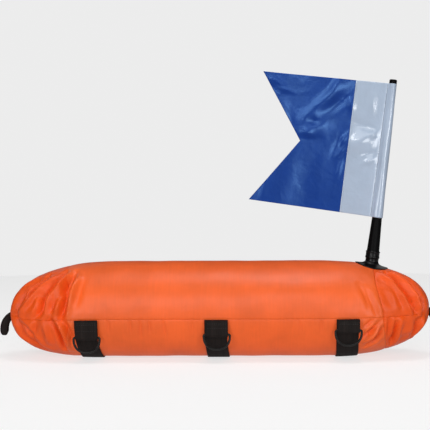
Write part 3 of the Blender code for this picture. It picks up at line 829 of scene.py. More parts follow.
@dataclass(frozen=True)
class Form:
    """The inflated float's outer form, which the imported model's cover has too.

    The skin is pressed flat where it rests, by a bend of the given softness, and the bend's
    correction comes in above fade_from, over fade_over.
    """

    length: float = 0.731
    radius: float = 0.084
    press: float = 0.004
    rest: float = 0.0023
    softness: float = 0.0012
    fade_from: float = 0.004
    fade_over: float = 0.02
    seam_drop: float = 0.0085
    tip: float = 0.0012
    facets: int = 17
    probe: float = 0.0004
    probe_angle: float = 0.004
    left: Taper = Taper(
        Side.LEFT,
        0.184,
        2.31,
        -0.0059,
        -0.2545,
        (0, 13, 64, 95, 131, 180),
        (-0.262, -0.262, -0.257, -0.256, -0.258, -0.259),
    )
    right: Taper = Taper(
        Side.RIGHT,
        0.198,
        2.29,
        0.0,
        0.2765,
        (0, 29, 52, 70, 90, 109, 144, 180),
        (0.265, 0.266, 0.267, 0.272, 0.278, 0.2795, 0.286, 0.287),
    )

    @property
    def ends(self) -> tuple[Taper, Taper]:
        """Both tapered ends."""
        return self.left, self.right

    @property
    def axis_height(self) -> float:
        """How high the float's axis lies."""
        return self.rest + self.radius - self.press

    @property
    def seam_angle(self) -> float:
        """How far below the axis the side seams lie, as an angle about it."""
        return math.asin(self.seam_drop / self.radius)

    def facet_angle(self, number: int) -> float:
        """The angle of a facet's middle."""
        return -self.seam_angle + (math.pi + 2 * self.seam_angle) / self.facets * (number + 0.5)

    def centre_and_radius(self, x: Array) -> tuple[Array, Array]:
        """How high and how thick the float is along its length.

        Args:
            x: stations along the float.

        Returns:
            The section's middle height and its radius at each.
        """
        x = np.asarray(x, float)
        centre = np.full_like(x, self.axis_height)
        radius = np.full_like(x, self.radius)
        for end in self.ends:
            beyond = np.maximum(x * end.side.value - (self.length / 2 - end.length), 0)
            share = np.minimum(beyond / end.length, 1 - TINY)
            radius = radius * (1 - share**end.power) ** (1 / end.power)
            centre = centre + end.rise * smooth_share(share)
        return centre, radius

    def skin(self, x: Array, angle: Array, lift: Array | float = 0.0) -> Array:
        """Points on the float's skin, or lifted off it.

        Args:
            x: stations along the float.
            angle: angles about its axis.
            lift: how far out from the skin.

        Returns:
            Points, with a last axis of 3.
        """
        x, angle, lift = np.broadcast_arrays(
            np.asarray(x, float), np.asarray(angle, float), np.asarray(lift, float)
        )
        centre, radius = self.centre_and_radius(x)
        reach = radius + lift
        above = centre + reach * np.sin(angle) - (self.rest - lift)
        height = self.rest - lift + (above + np.sqrt(above**2 + 4 * self.softness**2)) / 2
        correction = self.softness**2 / np.maximum(above, self.softness)
        fade = smooth_share((above - self.fade_from) / self.fade_over)
        return np.stack([x, reach * np.cos(angle), height - correction * fade], -1)

    def outward(self, x: Array, angle: Array) -> Array:
        """The skin's outward direction at places on it.

        Args:
            x: stations along the float.
            angle: angles about its axis.

        Returns:
            Directions of length 1, on a last axis of 3.
        """
        step, turn = self.probe, self.probe_angle
        ahead = self.skin(x + step, angle) - self.skin(x - step, angle)
        return unit(np.cross(self.skin(x, angle + turn) - self.skin(x, angle - turn), ahead))

    def height_at(self, x: Array, y: Array) -> Array:
        """How high the float's upper skin is above a place."""
        centre, radius = self.centre_and_radius(x)
        return centre + np.sqrt(np.maximum(radius**2 - y**2, 0))

    def end_seam(self, end: Taper, angle: Array) -> Array:
        """Where an end seam crosses each angle: it was sewn a little aslant."""
        turned_by = np.degrees(turned_from(math.pi / 2, angle))
        return np.interp(turned_by, end.seam_turns, end.seam_places)


@dataclass(frozen=True)
class Openings:
    """The openings in the cover's back: the zip's slot and the valve's hole.

    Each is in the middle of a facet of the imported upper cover, counted from the back.
    """

    form: Form
    zip_facet: int = 1
    valve_facet: int = 4
    zip_half_length: float = 175.5 * MM
    zip_half_width: float = 7.0 * MM
    valve_x: float = -130 * MM
    valve_hole: float = 9.2 * MM

    @property
    def zip_angle(self) -> float:
        """Where the zip lies, as an angle about the float's axis."""
        return self.form.facet_angle(self.zip_facet)

    @property
    def valve_angle(self) -> float:
        """Where the valve lies, as an angle about the float's axis."""
        return self.form.facet_angle(self.valve_facet)


@dataclass(frozen=True)
class StrapPlace:
    """Where one belly strap lies: the middle of its rings, its own middle at the side seams and
    under the belly, and how far below the middle of the float's side its rings hang, in degrees
    about the axis."""

    place: Place
    x: float
    seam_x: float
    belly_x: float
    ring_degrees: float

    @property
    def below(self) -> float:
        """How far down the rings' bars lie, as an angle about the axis."""
        return math.radians(self.ring_degrees)

    def ending(self, face: Face) -> str:
        """The end of the names of the pieces on one side of the strap."""
        return f"{self.place.value}_{face.name.lower()}"


STRAPS = (
    StrapPlace(Place.LEFT, -223.5 * MM, -225.7 * MM, -218.3 * MM, 25.3),
    StrapPlace(Place.MIDDLE, -3.5 * MM, -5.5 * MM, -0.9 * MM, 21.9),
    StrapPlace(Place.RIGHT, 218 * MM, 217 * MM, 220 * MM, 17.6),
)


@dataclass(frozen=True)
class Spots:
    """Places on the float's smooth skin: their stations, angles and points."""

    x: Array
    angle: Array
    points: Array


@dataclass(frozen=True)
class HeldFlat:
    """Where the cover's cloth is held flat: each method gives the distance from one such place."""

    form: Form
    openings: Openings
    boot_x: float
    boot_radius: float
    strap_half: float = 20 * MM
    zip_half: float = 14 * MM
    zip_reach: float = 178 * MM
    valve_radius: float = 14 * MM
    nose_radius: float = 6 * MM
    above_all: float = 1.0

    def from_straps(self, spots: Spots) -> Array:
        """From the nearest strap, which runs below the side seams.

        Args:
            spots: places on the smooth skin.

        Returns:
            Distances in metres.
        """
        above = turned_from(3 * math.pi / 2, spots.angle) - (math.pi / 2 - self.form.seam_angle)
        beside = np.minimum.reduce([np.abs(spots.x - strap.x) for strap in STRAPS])
        beside = np.maximum(beside - self.strap_half, 0)
        return np.hypot(beside, np.maximum(above, 0) * self.form.radius)

    def from_boot(self, spots: Spots) -> Array:
        """From the mast's boot, on the float's upper side.

        Args:
            spots: places on the smooth skin.

        Returns:
            Distances in metres, and above_all on the lower side.
        """
        x, y, z = np.moveaxis(spots.points, -1, 0)
        away = np.maximum(np.hypot(x - self.boot_x, y) - self.boot_radius, 0)
        return np.where(z > self.form.axis_height, away, self.above_all)

    def from_zip(self, spots: Spots) -> Array:
        """From the zip and its hems."""
        across = np.abs(spots.angle - self.openings.zip_angle) * self.form.radius - self.zip_half
        return np.hypot(np.maximum(across, 0), np.maximum(np.abs(spots.x) - self.zip_reach, 0))

    def from_valve(self, spots: Spots) -> Array:
        """From the valve's grommet."""
        across = (spots.angle - self.openings.valve_angle) * self.form.radius
        return np.maximum(np.hypot(spots.x - self.openings.valve_x, across) - self.valve_radius, 0)

    def from_nose(self, spots: Spots) -> Array:
        """From the noses, where the tow loops come out."""
        return np.maximum(self.form.centre_and_radius(spots.x)[1] - self.nose_radius, 0)

    def gaps(self) -> list[tuple[Callable[[Spots], Array], float]]:
        """The places that hold the cover flat.

        Returns:
            Each place's method, with how far from it the folds are back at their full height.
        """
        return [
            (self.from_straps, 7 * MM),
            (self.from_boot, 8 * MM),
            (self.from_zip, 12 * MM),
            (self.from_valve, 14 * MM),
            (self.from_nose, 16 * MM),
        ]


# Folds in the cover, each as its height in mm (below nothing for a crease), its width in mm and
# its places as (x in mm, degrees about the axis). They lie on the front of the float.
FRONT_FOLDS: tuple[tuple[float, float, tuple[tuple[float, float], ...]], ...] = (
    (-2.7, 6.0, ((286, 113), (298, 126), (309, 139), (323, 156), (336, 181))),
    (2.0, 8.0, ((274, 119), (290, 132), (303, 146), (316, 162), (326, 182))),
    (-2.0, 7.5, ((340, 199), (338, 222), (334, 245))),
    (1.8, 6.0, ((352, 201), (342, 225), (334, 250))),
    (-2.2, 5.0, ((302, 196), (298, 215), (295, 237))),
    (1.8, 6.5, ((309, 193), (304, 209), (301, 234))),
    (-1.8, 5.0, ((273, 190), (260, 202), (244, 212))),
    (-1.8, 5.0, ((276, 200), (268, 215), (250, 228))),
    (1.5, 5.5, ((270, 194), (261, 208), (248, 218))),
    (-1.1, 4.0, ((260, 188), (245, 197))),
    (-1.2, 6.0, ((249, 148), (258, 166), (266, 181))),
    (-0.9, 6.0, ((237, 143), (248, 161), (253, 177))),
    (1.4, 8.0, ((281, 139), (293, 153), (303, 170))),
    (-1.5, 4.5, ((289, 190), (288, 205), (290, 229))),
    (-2.7, 9.8, ((-308, 114), (-321, 119), (-336, 129), (-349, 155), (-354, 179))),
    (-2.7, 9.8, ((-354, 179), (-347, 200), (-337, 219), (-323, 233), (-303, 245))),
    (-2.0, 5.5, ((-293, 112), (-314, 133), (-338, 153))),
    (1.5, 6.0, ((-284, 121), (-305, 138), (-325, 154), (-338, 169))),
    (-2.2, 6.5, ((-263, 118), (-282, 137), (-296, 151), (-308, 174))),
    (1.8, 7.5, ((-256, 122), (-271, 137), (-285, 151), (-295, 167))),
    (-2.3, 6.5, ((-248, 130), (-256, 148), (-263, 164), (-267, 179))),
    (2.1, 7.5, ((-240, 132), (-247, 149), (-253, 168))),
    (-0.35, 7.0, ((-229, 136), (-235, 150), (-240, 168))),
    (-2.6, 5.0, ((-286, 185), (-276, 196), (-269, 209), (-265, 231))),
    (2.0, 7.0, ((-277, 185), (-267, 197), (-259, 214), (-254, 232))),
    (-1.5, 5.0, ((-262, 188), (-254, 201), (-249, 217))),
    (-1.8, 5.5, ((-340, 193), (-326, 207), (-312, 229))),
    (1.5, 7.0, ((-299, 189), (-294, 203), (-291, 222))),
    (-1.2, 5.5, ((-311, 189), (-317, 208))),
    (-0.7, 3.5, ((-150, 187), (-149, 203))),
    (-0.8, 3.5, ((-133, 187), (-132, 208))),
    (-0.7, 3.5, ((-118, 187), (-116, 202))),
    (-0.7, 3.5, ((-94, 187), (-91, 206))),
    (-0.5, 3.5, ((-45, 187), (-44, 202))),
    (-0.6, 3.5, ((-187, 187), (-186, 201))),
    (-0.5, 3.5, ((136, 187), (138, 200))),
    (-0.6, 3.5, ((173, 187), (172, 202))),
    (0.45, 20, ((66, 150), (120, 153), (176, 151))),
    (-2.4, 7.0, ((-303, 150), (-300, 162), (-304, 173), (-315, 182))),
    (-2.2, 6.0, ((-259, 138), (-259, 150), (-260, 162), (-266, 178), (-270, 188))),
    (2.0, 8.0, ((-268, 142), (-272, 156), (-276, 174))),
    (-2.2, 6.0, ((-247, 120), (-254, 131), (-269, 154), (-284, 172))),
    (1.8, 6.0, ((298, 112), (316, 126), (333, 146), (343, 170), (346, 186))),
    (-2.4, 7.0, ((308, 106), (328, 121), (342, 141), (350, 166), (350, 186))),
    (-1.6, 7.0, ((304, 198), (301, 215), (297, 233))),
)


@dataclass
class Relief:
    """How far the cover's cloth stands off the smooth form: folds, gathers and seams.

    The values with one entry a seam are those of the front and back side seams, then of the left
    and right end seams. The slow unevenness is a sum of waves that wind round the float, and the
    gathers' rates are per metre. Folds narrower than narrow_fold are squeezed, and creases deeper
    than deep are eased off, so that none goes further than deeper beyond it. The values jitter,
    back_reach and narrow_fold are in the units of FRONT_FOLDS.
    """

    form: Form
    held: HeldFlat
    seam_depths: tuple[float, ...] = (0.36 * MM, 0.36 * MM, 0.12 * MM, 0.7 * MM)
    seam_width: float = 1.9 * MM
    seam_hollows: tuple[float, ...] = (0.35 * MM, 0.35 * MM, 0.05 * MM, 0.35 * MM)
    seam_hollow_width: float = 7.0 * MM
    pucker: float = 0.28 * MM
    pucker_length: float = 11 * MM
    pucker_reach: float = 9 * MM
    pucker_beat: float = 4.7
    pucker_beat_share: float = 0.4
    swell_height: float = 0.1 * MM
    swell_lengths: tuple[float, ...] = (192 * MM, 127 * MM, 81 * MM, 53 * MM, 101 * MM)
    swell_turns: tuple[int, ...] = (1, 2, 3, 5, 4)
    gather: float = 0.84 * MM
    gathers: tuple[int, int] = (17, 11)
    gather_share: float = 0.6
    gather_wander: tuple[float, float] = (2.3, 1.7)
    gather_rate: tuple[float, float] = (31, 23)
    slack_share: float = 0.97
    slack_over: float = 0.35
    jitter: float = 7.0
    back_reach: float = 346
    back_growth: tuple[float, float] = (0.6, 1.1)
    fold_growth: float = 3.1
    crease_growth: float = 4.1
    fold_power: float = 2
    crease_power: float = 1.3
    squeeze: float = 0.76
    narrow_fold: float = 10
    fold_reach: float = 3.2
    fade_share: float = 0.86
    fade_power: float = 0.7
    shoulder_share: float = 0.28
    shoulder_place: float = 1.9
    shoulder_width: float = 1.1
    deep: float = 8 * MM
    deeper: float = 4 * MM
    held_seam_share: float = 0.35
    knot_steps: int = 4
    phase_count: int = 24

    def __post_init__(self) -> None:
        """Lay the folds out over the form."""
        self.random = np.random.default_rng(SEED)
        self.folds = [(height, width, self.lay(places)) for height, width, places in FRONT_FOLDS]
        self.folds += self.back_folds()
        self.phases = self.random.uniform(0, 2 * math.pi, self.phase_count)

    def lay(self, places: Outline) -> Array:
        """A smooth line on the skin through a fold's places.

        Args:
            places: as (x in mm, degrees about the axis).

        Returns:
            The line's points.
        """
        knots = np.asarray(places, float)
        padded = np.stack([2 * knots[0] - knots[1], *knots, 2 * knots[-1] - knots[-2]])
        at = np.linspace(0, len(knots) - 1, self.knot_steps * (len(knots) - 1) + 1)
        start = np.minimum(at.astype(int), len(knots) - 2)
        t = (at - start)[:, None]
        a, b, c, d = (padded[start + i] for i in range(4))
        bent = (2 * a - 5 * b + 4 * c - d) * t**2 + (3 * b - a - 3 * c + d) * t**3
        line = 0.5 * (2 * b + (c - a) * t + bent)
        return self.form.skin(line[:, 0] * MM, np.radians(line[:, 1]))

    def back_folds(self) -> list[tuple[float, float, Array]]:
        """Folds like the front's on the back, each moved a little, as no two sides are alike.

        Returns:
            Each fold's height, width and line.
        """
        made = []
        for height, width, places in FRONT_FOLDS:
            shift = self.random.uniform(-self.jitter, self.jitter, 2)
            grown = self.random.uniform(*self.back_growth)
            near = [(x, angle) for x, angle in places if abs(x) < self.back_reach]
            if len(near) > 1:
                line = [(x + shift[0], 180 - angle + shift[1]) for x, angle in near]
                made.append((height * grown, width, self.lay(line)))
        return made

    def fold_relief(self, points: Array) -> Array:
        """The folds' share of the relief.

        Args:
            points: of the smooth skin, N by 3.

        Returns:
            Heights in metres, N.
        """
        total = np.zeros(len(points))
        for height, width, line in self.folds:
            width = width * MM * (self.squeeze if width < self.narrow_fold else 1)
            reach = self.fold_reach * width
            near = np.all((points > line.min(0) - reach) & (points < line.max(0) + reach), axis=1)
            some = points[near]
            if not len(some):
                continue
            best, share = np.full(len(some), np.inf), np.zeros(len(some))
            lengths = distances(line)
            for start, run, done in zip(line, np.diff(line, axis=0), lengths):
                length = max(float(np.linalg.norm(run)), TINY)
                at = np.clip((some - start) @ run / length**2, 0, 1)
                gap = np.linalg.norm(some - start - at[:, None] * run, axis=1)
                closer = gap < best
                best = np.where(closer, gap, best)
                share = np.where(closer, (done + at * length) / lengths[-1], share)
            inner = np.clip(share * self.fade_share + (1 - self.fade_share) / 2, 0, 1)
            fade = np.sin(np.pi * inner) ** self.fade_power
            crease = height < 0
            power = self.crease_power if crease else self.fold_power
            shoulder = (best - self.shoulder_place * width) / (self.shoulder_width * width)
            shape = np.exp(-((best / width) ** power)) - self.shoulder_share * np.exp(-(shoulder**2))
            grown = height * MM * (self.crease_growth if crease else self.fold_growth)
            total[near] += grown * fade * shape
        return total

    def seam_relief(self, spots: Spots) -> Array:
        """The grooves along the seams, and the small puckers that the stitching draws in.

        Args:
            spots: places on the smooth skin.

        Returns:
            Heights in metres.
        """
        form, x, angle = self.form, spots.x, spots.angle
        radius = form.centre_and_radius(x)[1]
        total = np.zeros_like(x)
        lines = []
        for seam in (math.pi + form.seam_angle, -form.seam_angle):
            lines.append((turned_from(seam, angle) * radius, x))
        for end in form.ends:
            lines.append((np.abs(x - form.end_seam(end, angle)), angle * radius))
        beat = self.pucker_beat_share
        for number, (gap, along) in enumerate(lines):
            total -= self.seam_depths[number] * np.exp(-((gap / self.seam_width) ** 2))
            total -= self.seam_hollows[number] * np.exp(-((gap / self.seam_hollow_width) ** 2))
            turns = 2 * math.pi * along / self.pucker_length
            wave = np.sin(turns + self.phases[number])
            wave *= 1 - beat + beat * np.sin(turns / self.pucker_beat + number)
            total += self.pucker * wave * np.exp(-((gap / self.pucker_reach) ** 2))
        return total

    def swell(self, spots: Spots) -> Array:
        """Slow unevenness all over, and gathers that run in to the noses.

        Args:
            spots: places on the smooth skin.

        Returns:
            Heights in metres.
        """
        x, angle = spots.x, spots.angle
        radius = self.form.centre_and_radius(x)[1] / self.form.radius
        phases = self.phases[len(self.seam_depths) :]
        total = np.zeros_like(x)
        for long_way, round_it, phase in zip(self.swell_lengths, self.swell_turns, phases):
            total += np.sin(2 * math.pi * x / long_way + round_it * angle + phase)
        # One phase stands between those of the waves and those of the gathers
        first, turn, second = phases[len(self.swell_lengths) + 1 :][:3]
        slack = smooth_share((self.slack_share - radius) / self.slack_over)
        wander = self.gather_wander[0] * np.sin(x * self.gather_rate[0] + first)
        drawn = np.sin(self.gathers[0] * angle + wander + turn)
        wander = self.gather_wander[1] * np.sin(x * self.gather_rate[1] + second)
        drawn += self.gather_share * np.sin(self.gathers[1] * angle - wander)
        return total * self.swell_height + self.gather * slack * drawn * radius

    def at(self, spots: Spots) -> Array:
        """The whole relief.

        Args:
            spots: places on the smooth skin.

        Returns:
            Heights off the smooth skin, in metres.
        """
        folds = self.fold_relief(spots.points.reshape(-1, 3)).reshape(spots.x.shape)
        total = folds + self.swell(spots)
        past = np.maximum(-self.deep - total, 0)
        total = np.maximum(total, -self.deep) - self.deeper * np.tanh(past / self.deeper)
        held = np.ones_like(total)
        for gap, back in self.held.gaps():
            held *= smooth_share(gap(spots) / back)
        seams = self.seam_relief(spots) * from_to(self.held_seam_share, 1, held)
        return total * held + seams


# Cover


@dataclass
class Cover:
    """The sewn cover: two long panels and two halves at each end, with turned-in edges.

    The end seams' slant starts at slant_gap past the zip. Beside the left one a column of faces
    is only as wide as crisp, to keep the seam's line sharp.
    """

    form: Form
    relief: Relief
    openings: Openings
    step: float = 2.1 * MM
    end_step: float = 1.7 * MM
    end_stretch: float = 1.25
    seam_gap: float = 0.04 * MM
    turn_in: float = 2.6 * MM
    edge_angle: float = 0.03
    crisp: float = 0.35 * MM
    slant_gap: float = 12 * MM

    def angles(self, upper: bool) -> Array:
        """The angles of a panel's rows, from side seam to side seam.

        Args:
            upper: whether it is an upper panel, which has two rows along the zip's slot.

        Returns:
            The angles, rising.
        """
        form = self.form
        short = self.seam_gap / form.radius
        if upper:
            half = self.openings.zip_half_width / form.radius
            slot = [self.openings.zip_angle - half, self.openings.zip_angle + half]
            stops = [-form.seam_angle + short, *slot, math.pi + form.seam_angle - short]
        else:
            stops = [math.pi + form.seam_angle + short, 2 * math.pi - form.seam_angle - short]
        return spaced(stops, self.step / form.radius, math.ceil)

    def long_places(self, angle: Array) -> Array:
        """Where the columns of a long panel lie.

        Args:
            angle: the angles of a panel's rows.

        Returns:
            Stations, columns by angles, whose ends meet the slanted end seams.
        """
        form = self.form
        half = self.openings.zip_half_length
        plain = spaced([form.left.seam, -half, half, form.right.seam], self.step, round)
        plain = np.insert(plain, 1, plain[0] + self.crisp)[:, None]
        made = np.broadcast_to(plain, (len(plain), len(angle))).copy()
        start = half + self.slant_gap
        for end in form.ends:
            sign = end.side.value
            share = smooth_share((plain * sign - start) / (abs(end.seam) - start))
            slant = form.end_seam(end, angle) - end.seam - sign * self.seam_gap
            made += share * slant[None] * (plain * sign > 0)
        return made

    def end_places(self, end: Taper, angle: Array) -> Array:
        """Where the columns of an end's panel lie.

        Args:
            end: the end that it covers.
            angle: the angles of its rows.

        Returns:
            Stations, columns by angles, from the slanted seam to the nose.
        """
        form = self.form
        start = form.length / 2 - end.length
        seam = np.abs(form.end_seam(end, angle)) + self.seam_gap
        first = np.arcsin(((seam - start) / end.length) ** (end.power / 2))
        last = math.acos((form.tip / form.radius) ** (end.power / 2))
        run = (form.length / 2 - abs(end.seam)) * self.end_stretch
        share = np.linspace(0, 1, int(round(run / self.end_step)) + 1)
        if end is form.left:
            share = np.insert(share, 1, share[1] * self.crisp / self.end_step)
        share = share[:, None]
        turn = first[None] * (1 - share) + last * share
        return end.side.value * (start + end.length * np.sin(turn) ** (2 / end.power))

    def panel(self, name: str, x: Array, angle: Array, nose: bool) -> Piece:
        """One panel of cloth.

        Args:
            name: the piece's name.
            x: stations, columns by angles.
            angle: the angles of its rows.
            nose: whether its last column ends at a nose.

        Returns:
            The object, with its sewn edges turned in.
        """
        form = self.form
        angles = np.broadcast_to(angle[None], x.shape)
        spots, out = Spots(x, angles, form.skin(x, angles)), form.outward(x, angles)
        points = spots.points + out * self.relief.at(spots)[..., None]
        points[..., 2] += (form.rest - points[..., 2]).clip(0)
        points = np.concatenate([points[:, :1] - out[:, :1] * self.turn_in, points], axis=1)
        points = np.concatenate([points, points[:, -1:] - out[:, -1:] * self.turn_in], axis=1)
        wide = np.concatenate([out[:, :1], out, out[:, -1:]], axis=1)
        points = np.concatenate([points[:1] - wide[:1] * self.turn_in, points], axis=0)
        if not nose:
            points = np.concatenate([points, points[-1:] - wide[-1:] * self.turn_in], axis=0)
        places = np.pad(x, ((1, 0 if nose else 1), (1, 1)), mode="edge")
        rows = np.concatenate([angle[:1] - self.edge_angle, angle, angle[-1:] + self.edge_angle])
        rows = np.broadcast_to(rows, places.shape)
        marks = cloth_marks(places, rows * form.radius)
        keep = None if nose else self.kept(places, rows)
        if x[-1, 0] > x[0, 0]:
            points, marks = points[:, ::-1], marks[:, ::-1]
            keep = None if nose else keep[:, ::-1]
        # The end panels take the nylon's painted-shade copy, darker and redder than the long panels
        return grid_object(name, points, marks, NYLON_ENDS_PAINTED_SHADE if nose else NYLON, keep=keep)

    def kept(self, x: Array, angle: Array) -> Array:
        """Which faces of a long panel stay: not those in the zip's slot or the valve's hole.

        Args:
            x: its grid's stations.
            angle: its grid's angles.

        Returns:
            For each face, whether it stays.
        """
        radius, cut = self.form.radius, self.openings
        middle_x, middle = ((grid[:-1, :-1] + grid[1:, 1:]) / 2 for grid in (x, angle))
        slot = np.abs(middle - cut.zip_angle) * radius < cut.zip_half_width
        slot &= np.abs(middle_x) < cut.zip_half_length
        valve = np.hypot(middle_x - cut.valve_x, (middle - cut.valve_angle) * radius)
        return ~slot & (valve > cut.valve_hole)

    def build(self) -> None:
        """Make the six panels."""
        for upper, name in ((True, "cover_top_panel"), (False, "cover_belly_panel")):
            angle = self.angles(upper)
            piece = self.panel(name + "_cloth", self.long_places(angle), angle, False)
            settle(piece, "float_body", "orange_nylon", name)
            for end in self.form.ends:
                node = f"end_panel_{end.name}_" + ("upper" if upper else "lower")
                piece = self.panel(node + "_cloth", self.end_places(end, angle), angle, True)
                settle(piece, "float_body", "orange_nylon", node)


@dataclass
class Bladder:
    """The air bladder in the cover: a smooth welded skin, clear of the cover's folds."""

    form: Form
    inset: float = 17 * MM
    fill: float = 0.95
    pole_angle: float = 0.02
    columns: int = 60
    sides: int = 48

    def build(self) -> None:
        """Make the bladder."""
        form, turn = self.form, full_turn(self.sides)
        half = form.length / 2
        places = np.linspace(self.pole_angle, math.pi - self.pole_angle, self.columns)
        x = -np.cos(places) * (half - self.inset)
        centre, radius = form.centre_and_radius(x * half / (half - self.inset))
        reach = radius[:, None] * (1 - self.inset / form.radius)
        height = np.maximum(centre[:, None] + reach * np.sin(turn), form.rest + self.inset / 2)
        rows = np.stack(np.broadcast_arrays(x[:, None], reach * np.cos(turn), height), -1)
        marks = cloth_marks(x[:, None], np.append(turn, 2 * math.pi) * form.radius)
        piece = grid_object("bladder_film", rows, marks, VINYL, True)
        settle(piece, "float_body", "bladder_vinyl", "bladder")


# Straps, rings and loops


@dataclass
class Straps:
    """The belly straps, sewn in at both side seams."""

    form: Form
    width: float = 38 * MM
    thickness: float = 2 * MM
    seat: float = 0.3 * MM
    end_gap: float = 0.5 * MM
    slant_power: float = 2.2
    steps: int = 18
    rows: int = 150

    def middle(self, strap: StrapPlace, angle: Array) -> Array:
        """Where a strap's middle crosses each angle: it was sewn on a little aslant."""
        below = np.clip(-np.sin(angle), 0, 1) ** self.slant_power
        return from_to(strap.seam_x, strap.belly_x, smooth_share(below))

    def build(self) -> None:
        """Make the three straps."""
        form = self.form
        section = band_section(self.width, self.thickness, self.steps)
        short = form.seam_angle + self.end_gap / form.radius
        angle = np.linspace(math.pi + short, 2 * math.pi - short, self.rows)[:, None]
        marks = section_marks(section, angle[:, 0] * form.radius)
        for strap in STRAPS:
            x = self.middle(strap, angle) + section[None, :, 0]
            rows = form.skin(x, angle, self.seat + self.thickness / 2 + section[None, :, 1])
            name = "belly_strap_" + strap.place.value
            piece = grid_object(name + "_webbing", rows, marks, WEBBING, True)
            settle(piece, "float_body", "black_webbing", name)


@dataclass
class RingsAndKeepers:
    """The D-rings, and the folded webbing that holds each by its straight bar.

    A keeper's inner ply runs down from top_gap below the side seam, turns about the bar as far
    as run_off past it, and its outer ply comes back up from outer_gap above the bar. The ply
    follows the strap's own slant by slant_share, as it has at slant_angle.
    """

    form: Form
    straps: Straps
    seat: float = 0.3 * MM
    wire: float = 2 * MM
    inner_width: float = 39.9 * MM
    drop: float = 25.2 * MM
    power: float = 2.3
    top_gap: float = 0.004
    inner_gap: float = 0.05
    outer_gap: float = 0.09
    run_off: float = math.radians(20)
    inner_steps: int = 8
    fold_steps: int = 15
    outer_steps: int = 12
    width_steps: int = 14
    slant_angle: float = math.pi * 1.06
    slant_share: float = 0.1
    stitch_rows: tuple[float, ...] = (4.5 * MM, 7.0 * MM)
    stitch_top: float = 3 * MM
    stitch_lift: float = 0.1 * MM
    stitch_half_share: float = 0.44
    stitch_places: int = 24
    stitch: Stitch = Stitch(pitch=3.4 * MM)
    bar_steps: int = 9
    corner_steps: int = 7
    bow_steps: int = 30

    @property
    def inner(self) -> float:
        """How far the middle of the inner ply lies off the cover."""
        return 2 * self.seat + self.straps.thickness * 1.5

    @property
    def fold(self) -> float:
        """Radius of the fold's middle about the ring's bar."""
        return self.wire + self.seat + self.straps.thickness / 2

    def bar(self, strap: StrapPlace, face: Face) -> Array:
        """The middle of a ring's straight bar.

        Args:
            strap: the strap that it hangs from.
            face: the float's side.

        Returns:
            The point.
        """
        across = strap.x + np.array([-0.5, 0, 0.5]) * self.straps.width
        centres, radii = self.form.centre_and_radius(across)
        fullest = int(np.argmax(radii))
        reach = radii[fullest] + self.inner + self.fold
        height = centres[fullest] - reach * math.sin(strap.below)
        return np.array([strap.x, face.value * reach * math.cos(strap.below), height])

    def spine(self, strap: StrapPlace, face: Face, x: Array) -> Array:
        """The middle line of a keeper in section, for stations across it.

        Args:
            strap: the strap that it is sewn on.
            face: the float's side.
            x: stations across the webbing.

        Returns:
            Points along the line by stations by 2 (y, z): down, round the bar and up again.
        """
        side, below, bar = face.value, strap.below, self.bar(strap, face)
        centre, radius = self.form.centre_and_radius(x)
        first = self.form.seam_angle + self.top_gap
        out = np.array([side * math.cos(below), -math.sin(below)])
        down = np.array([-side * math.sin(below), -math.cos(below)])

        def spot(middle: Array, reach: Array | float, angle: float) -> Array:
            """Points at a distance and an angle below the side, for each station."""
            y, z = side * reach * math.cos(angle), middle - reach * math.sin(angle)
            return np.stack(np.broadcast_arrays(y, z, x)[:2], -1)

        lines = []
        for angle in np.linspace(first, below - self.inner_gap, self.inner_steps):
            lines.append(spot(centre, radius + self.inner, angle))
        for angle in np.linspace(math.pi, -self.run_off, self.fold_steps):
            turned_to = bar[1:] + self.fold * (out * math.cos(angle) + down * math.sin(angle))
            lines.append(np.broadcast_to(turned_to, (len(x), 2)))
        foot, top = self.inner + 2 * self.fold, self.inner + self.straps.thickness + self.seat
        fullest = math.hypot(bar[1], bar[2] - centre.max()) - self.inner - self.fold
        for angle in np.linspace(below - self.outer_gap, first, self.outer_steps):
            share = smooth_share((angle - first) / (below - first))
            lines.append(spot(centre.max(), fullest + from_to(top, foot, share), angle))
        return np.stack(lines)

    def keeper(self, strap: StrapPlace, face: Face) -> Piece:
        """One keeper, without its stitches.

        Args:
            strap: the strap that it is sewn on.
            face: the float's side.

        Returns:
            The object.
        """
        section = band_section(self.straps.width, self.straps.thickness, self.width_steps)
        x = strap.x + section[:, 0]
        spine = self.spine(strap, face, x)
        run = unit(np.gradient(spine, axis=0))
        normal = np.stack([-run[..., 1], run[..., 0]], -1) * face.value
        spine = spine + normal * section[None, :, 1:]
        rows = np.concatenate([np.broadcast_to(x[None, :, None], (*spine.shape[:2], 1)), spine], -1)
        slant = self.straps.middle(strap, np.array(self.slant_angle)) - strap.x
        rows[..., 0] += slant * self.slant_share
        # A quarter of the way round its section is the middle of the webbing's outer face
        marks = section_marks(section, distances(spine[:, len(x) // 4]))
        if face is Face.FRONT:
            rows, marks = rows[:, ::-1], marks[:, ::-1]
        return grid_object(f"ring_keeper_{strap.ending(face)}_webbing", rows, marks, WEBBING, True)

    def stitching(self, strap: StrapPlace, face: Face) -> Piece:
        """The rows of thread that sew a keeper through the strap to the cover.

        Args:
            strap: the strap that it is sewn on.
            face: the float's side.

        Returns:
            One object with all its rows.
        """
        half = self.stitch_half_share
        x = strap.x + np.linspace(-half, half, self.stitch_places) * self.straps.width
        back = self.spine(strap, face, x)[::-1]
        lengths = distances(back[:, len(x) // 2])
        top = lengths[self.outer_steps - 2] - self.stitch_top
        pieces = []
        for number, below in enumerate((*self.stitch_rows, top)):
            spots = np.apply_along_axis(lambda line: np.interp(below, lengths, line), 0, back)
            out = unit(spots - [0, self.form.axis_height])
            off = self.straps.thickness / 2 + self.stitch_lift
            path = np.concatenate([x[:, None], spots + out * off], axis=1)
            normals = np.pad(out, ((0, 0), (1, 0)))
            pieces.append(self.stitch.row(f"thread_{number}", path, normals, WEB_THREAD))
        return join(f"ring_keeper_{strap.ending(face)}_stitching", pieces)

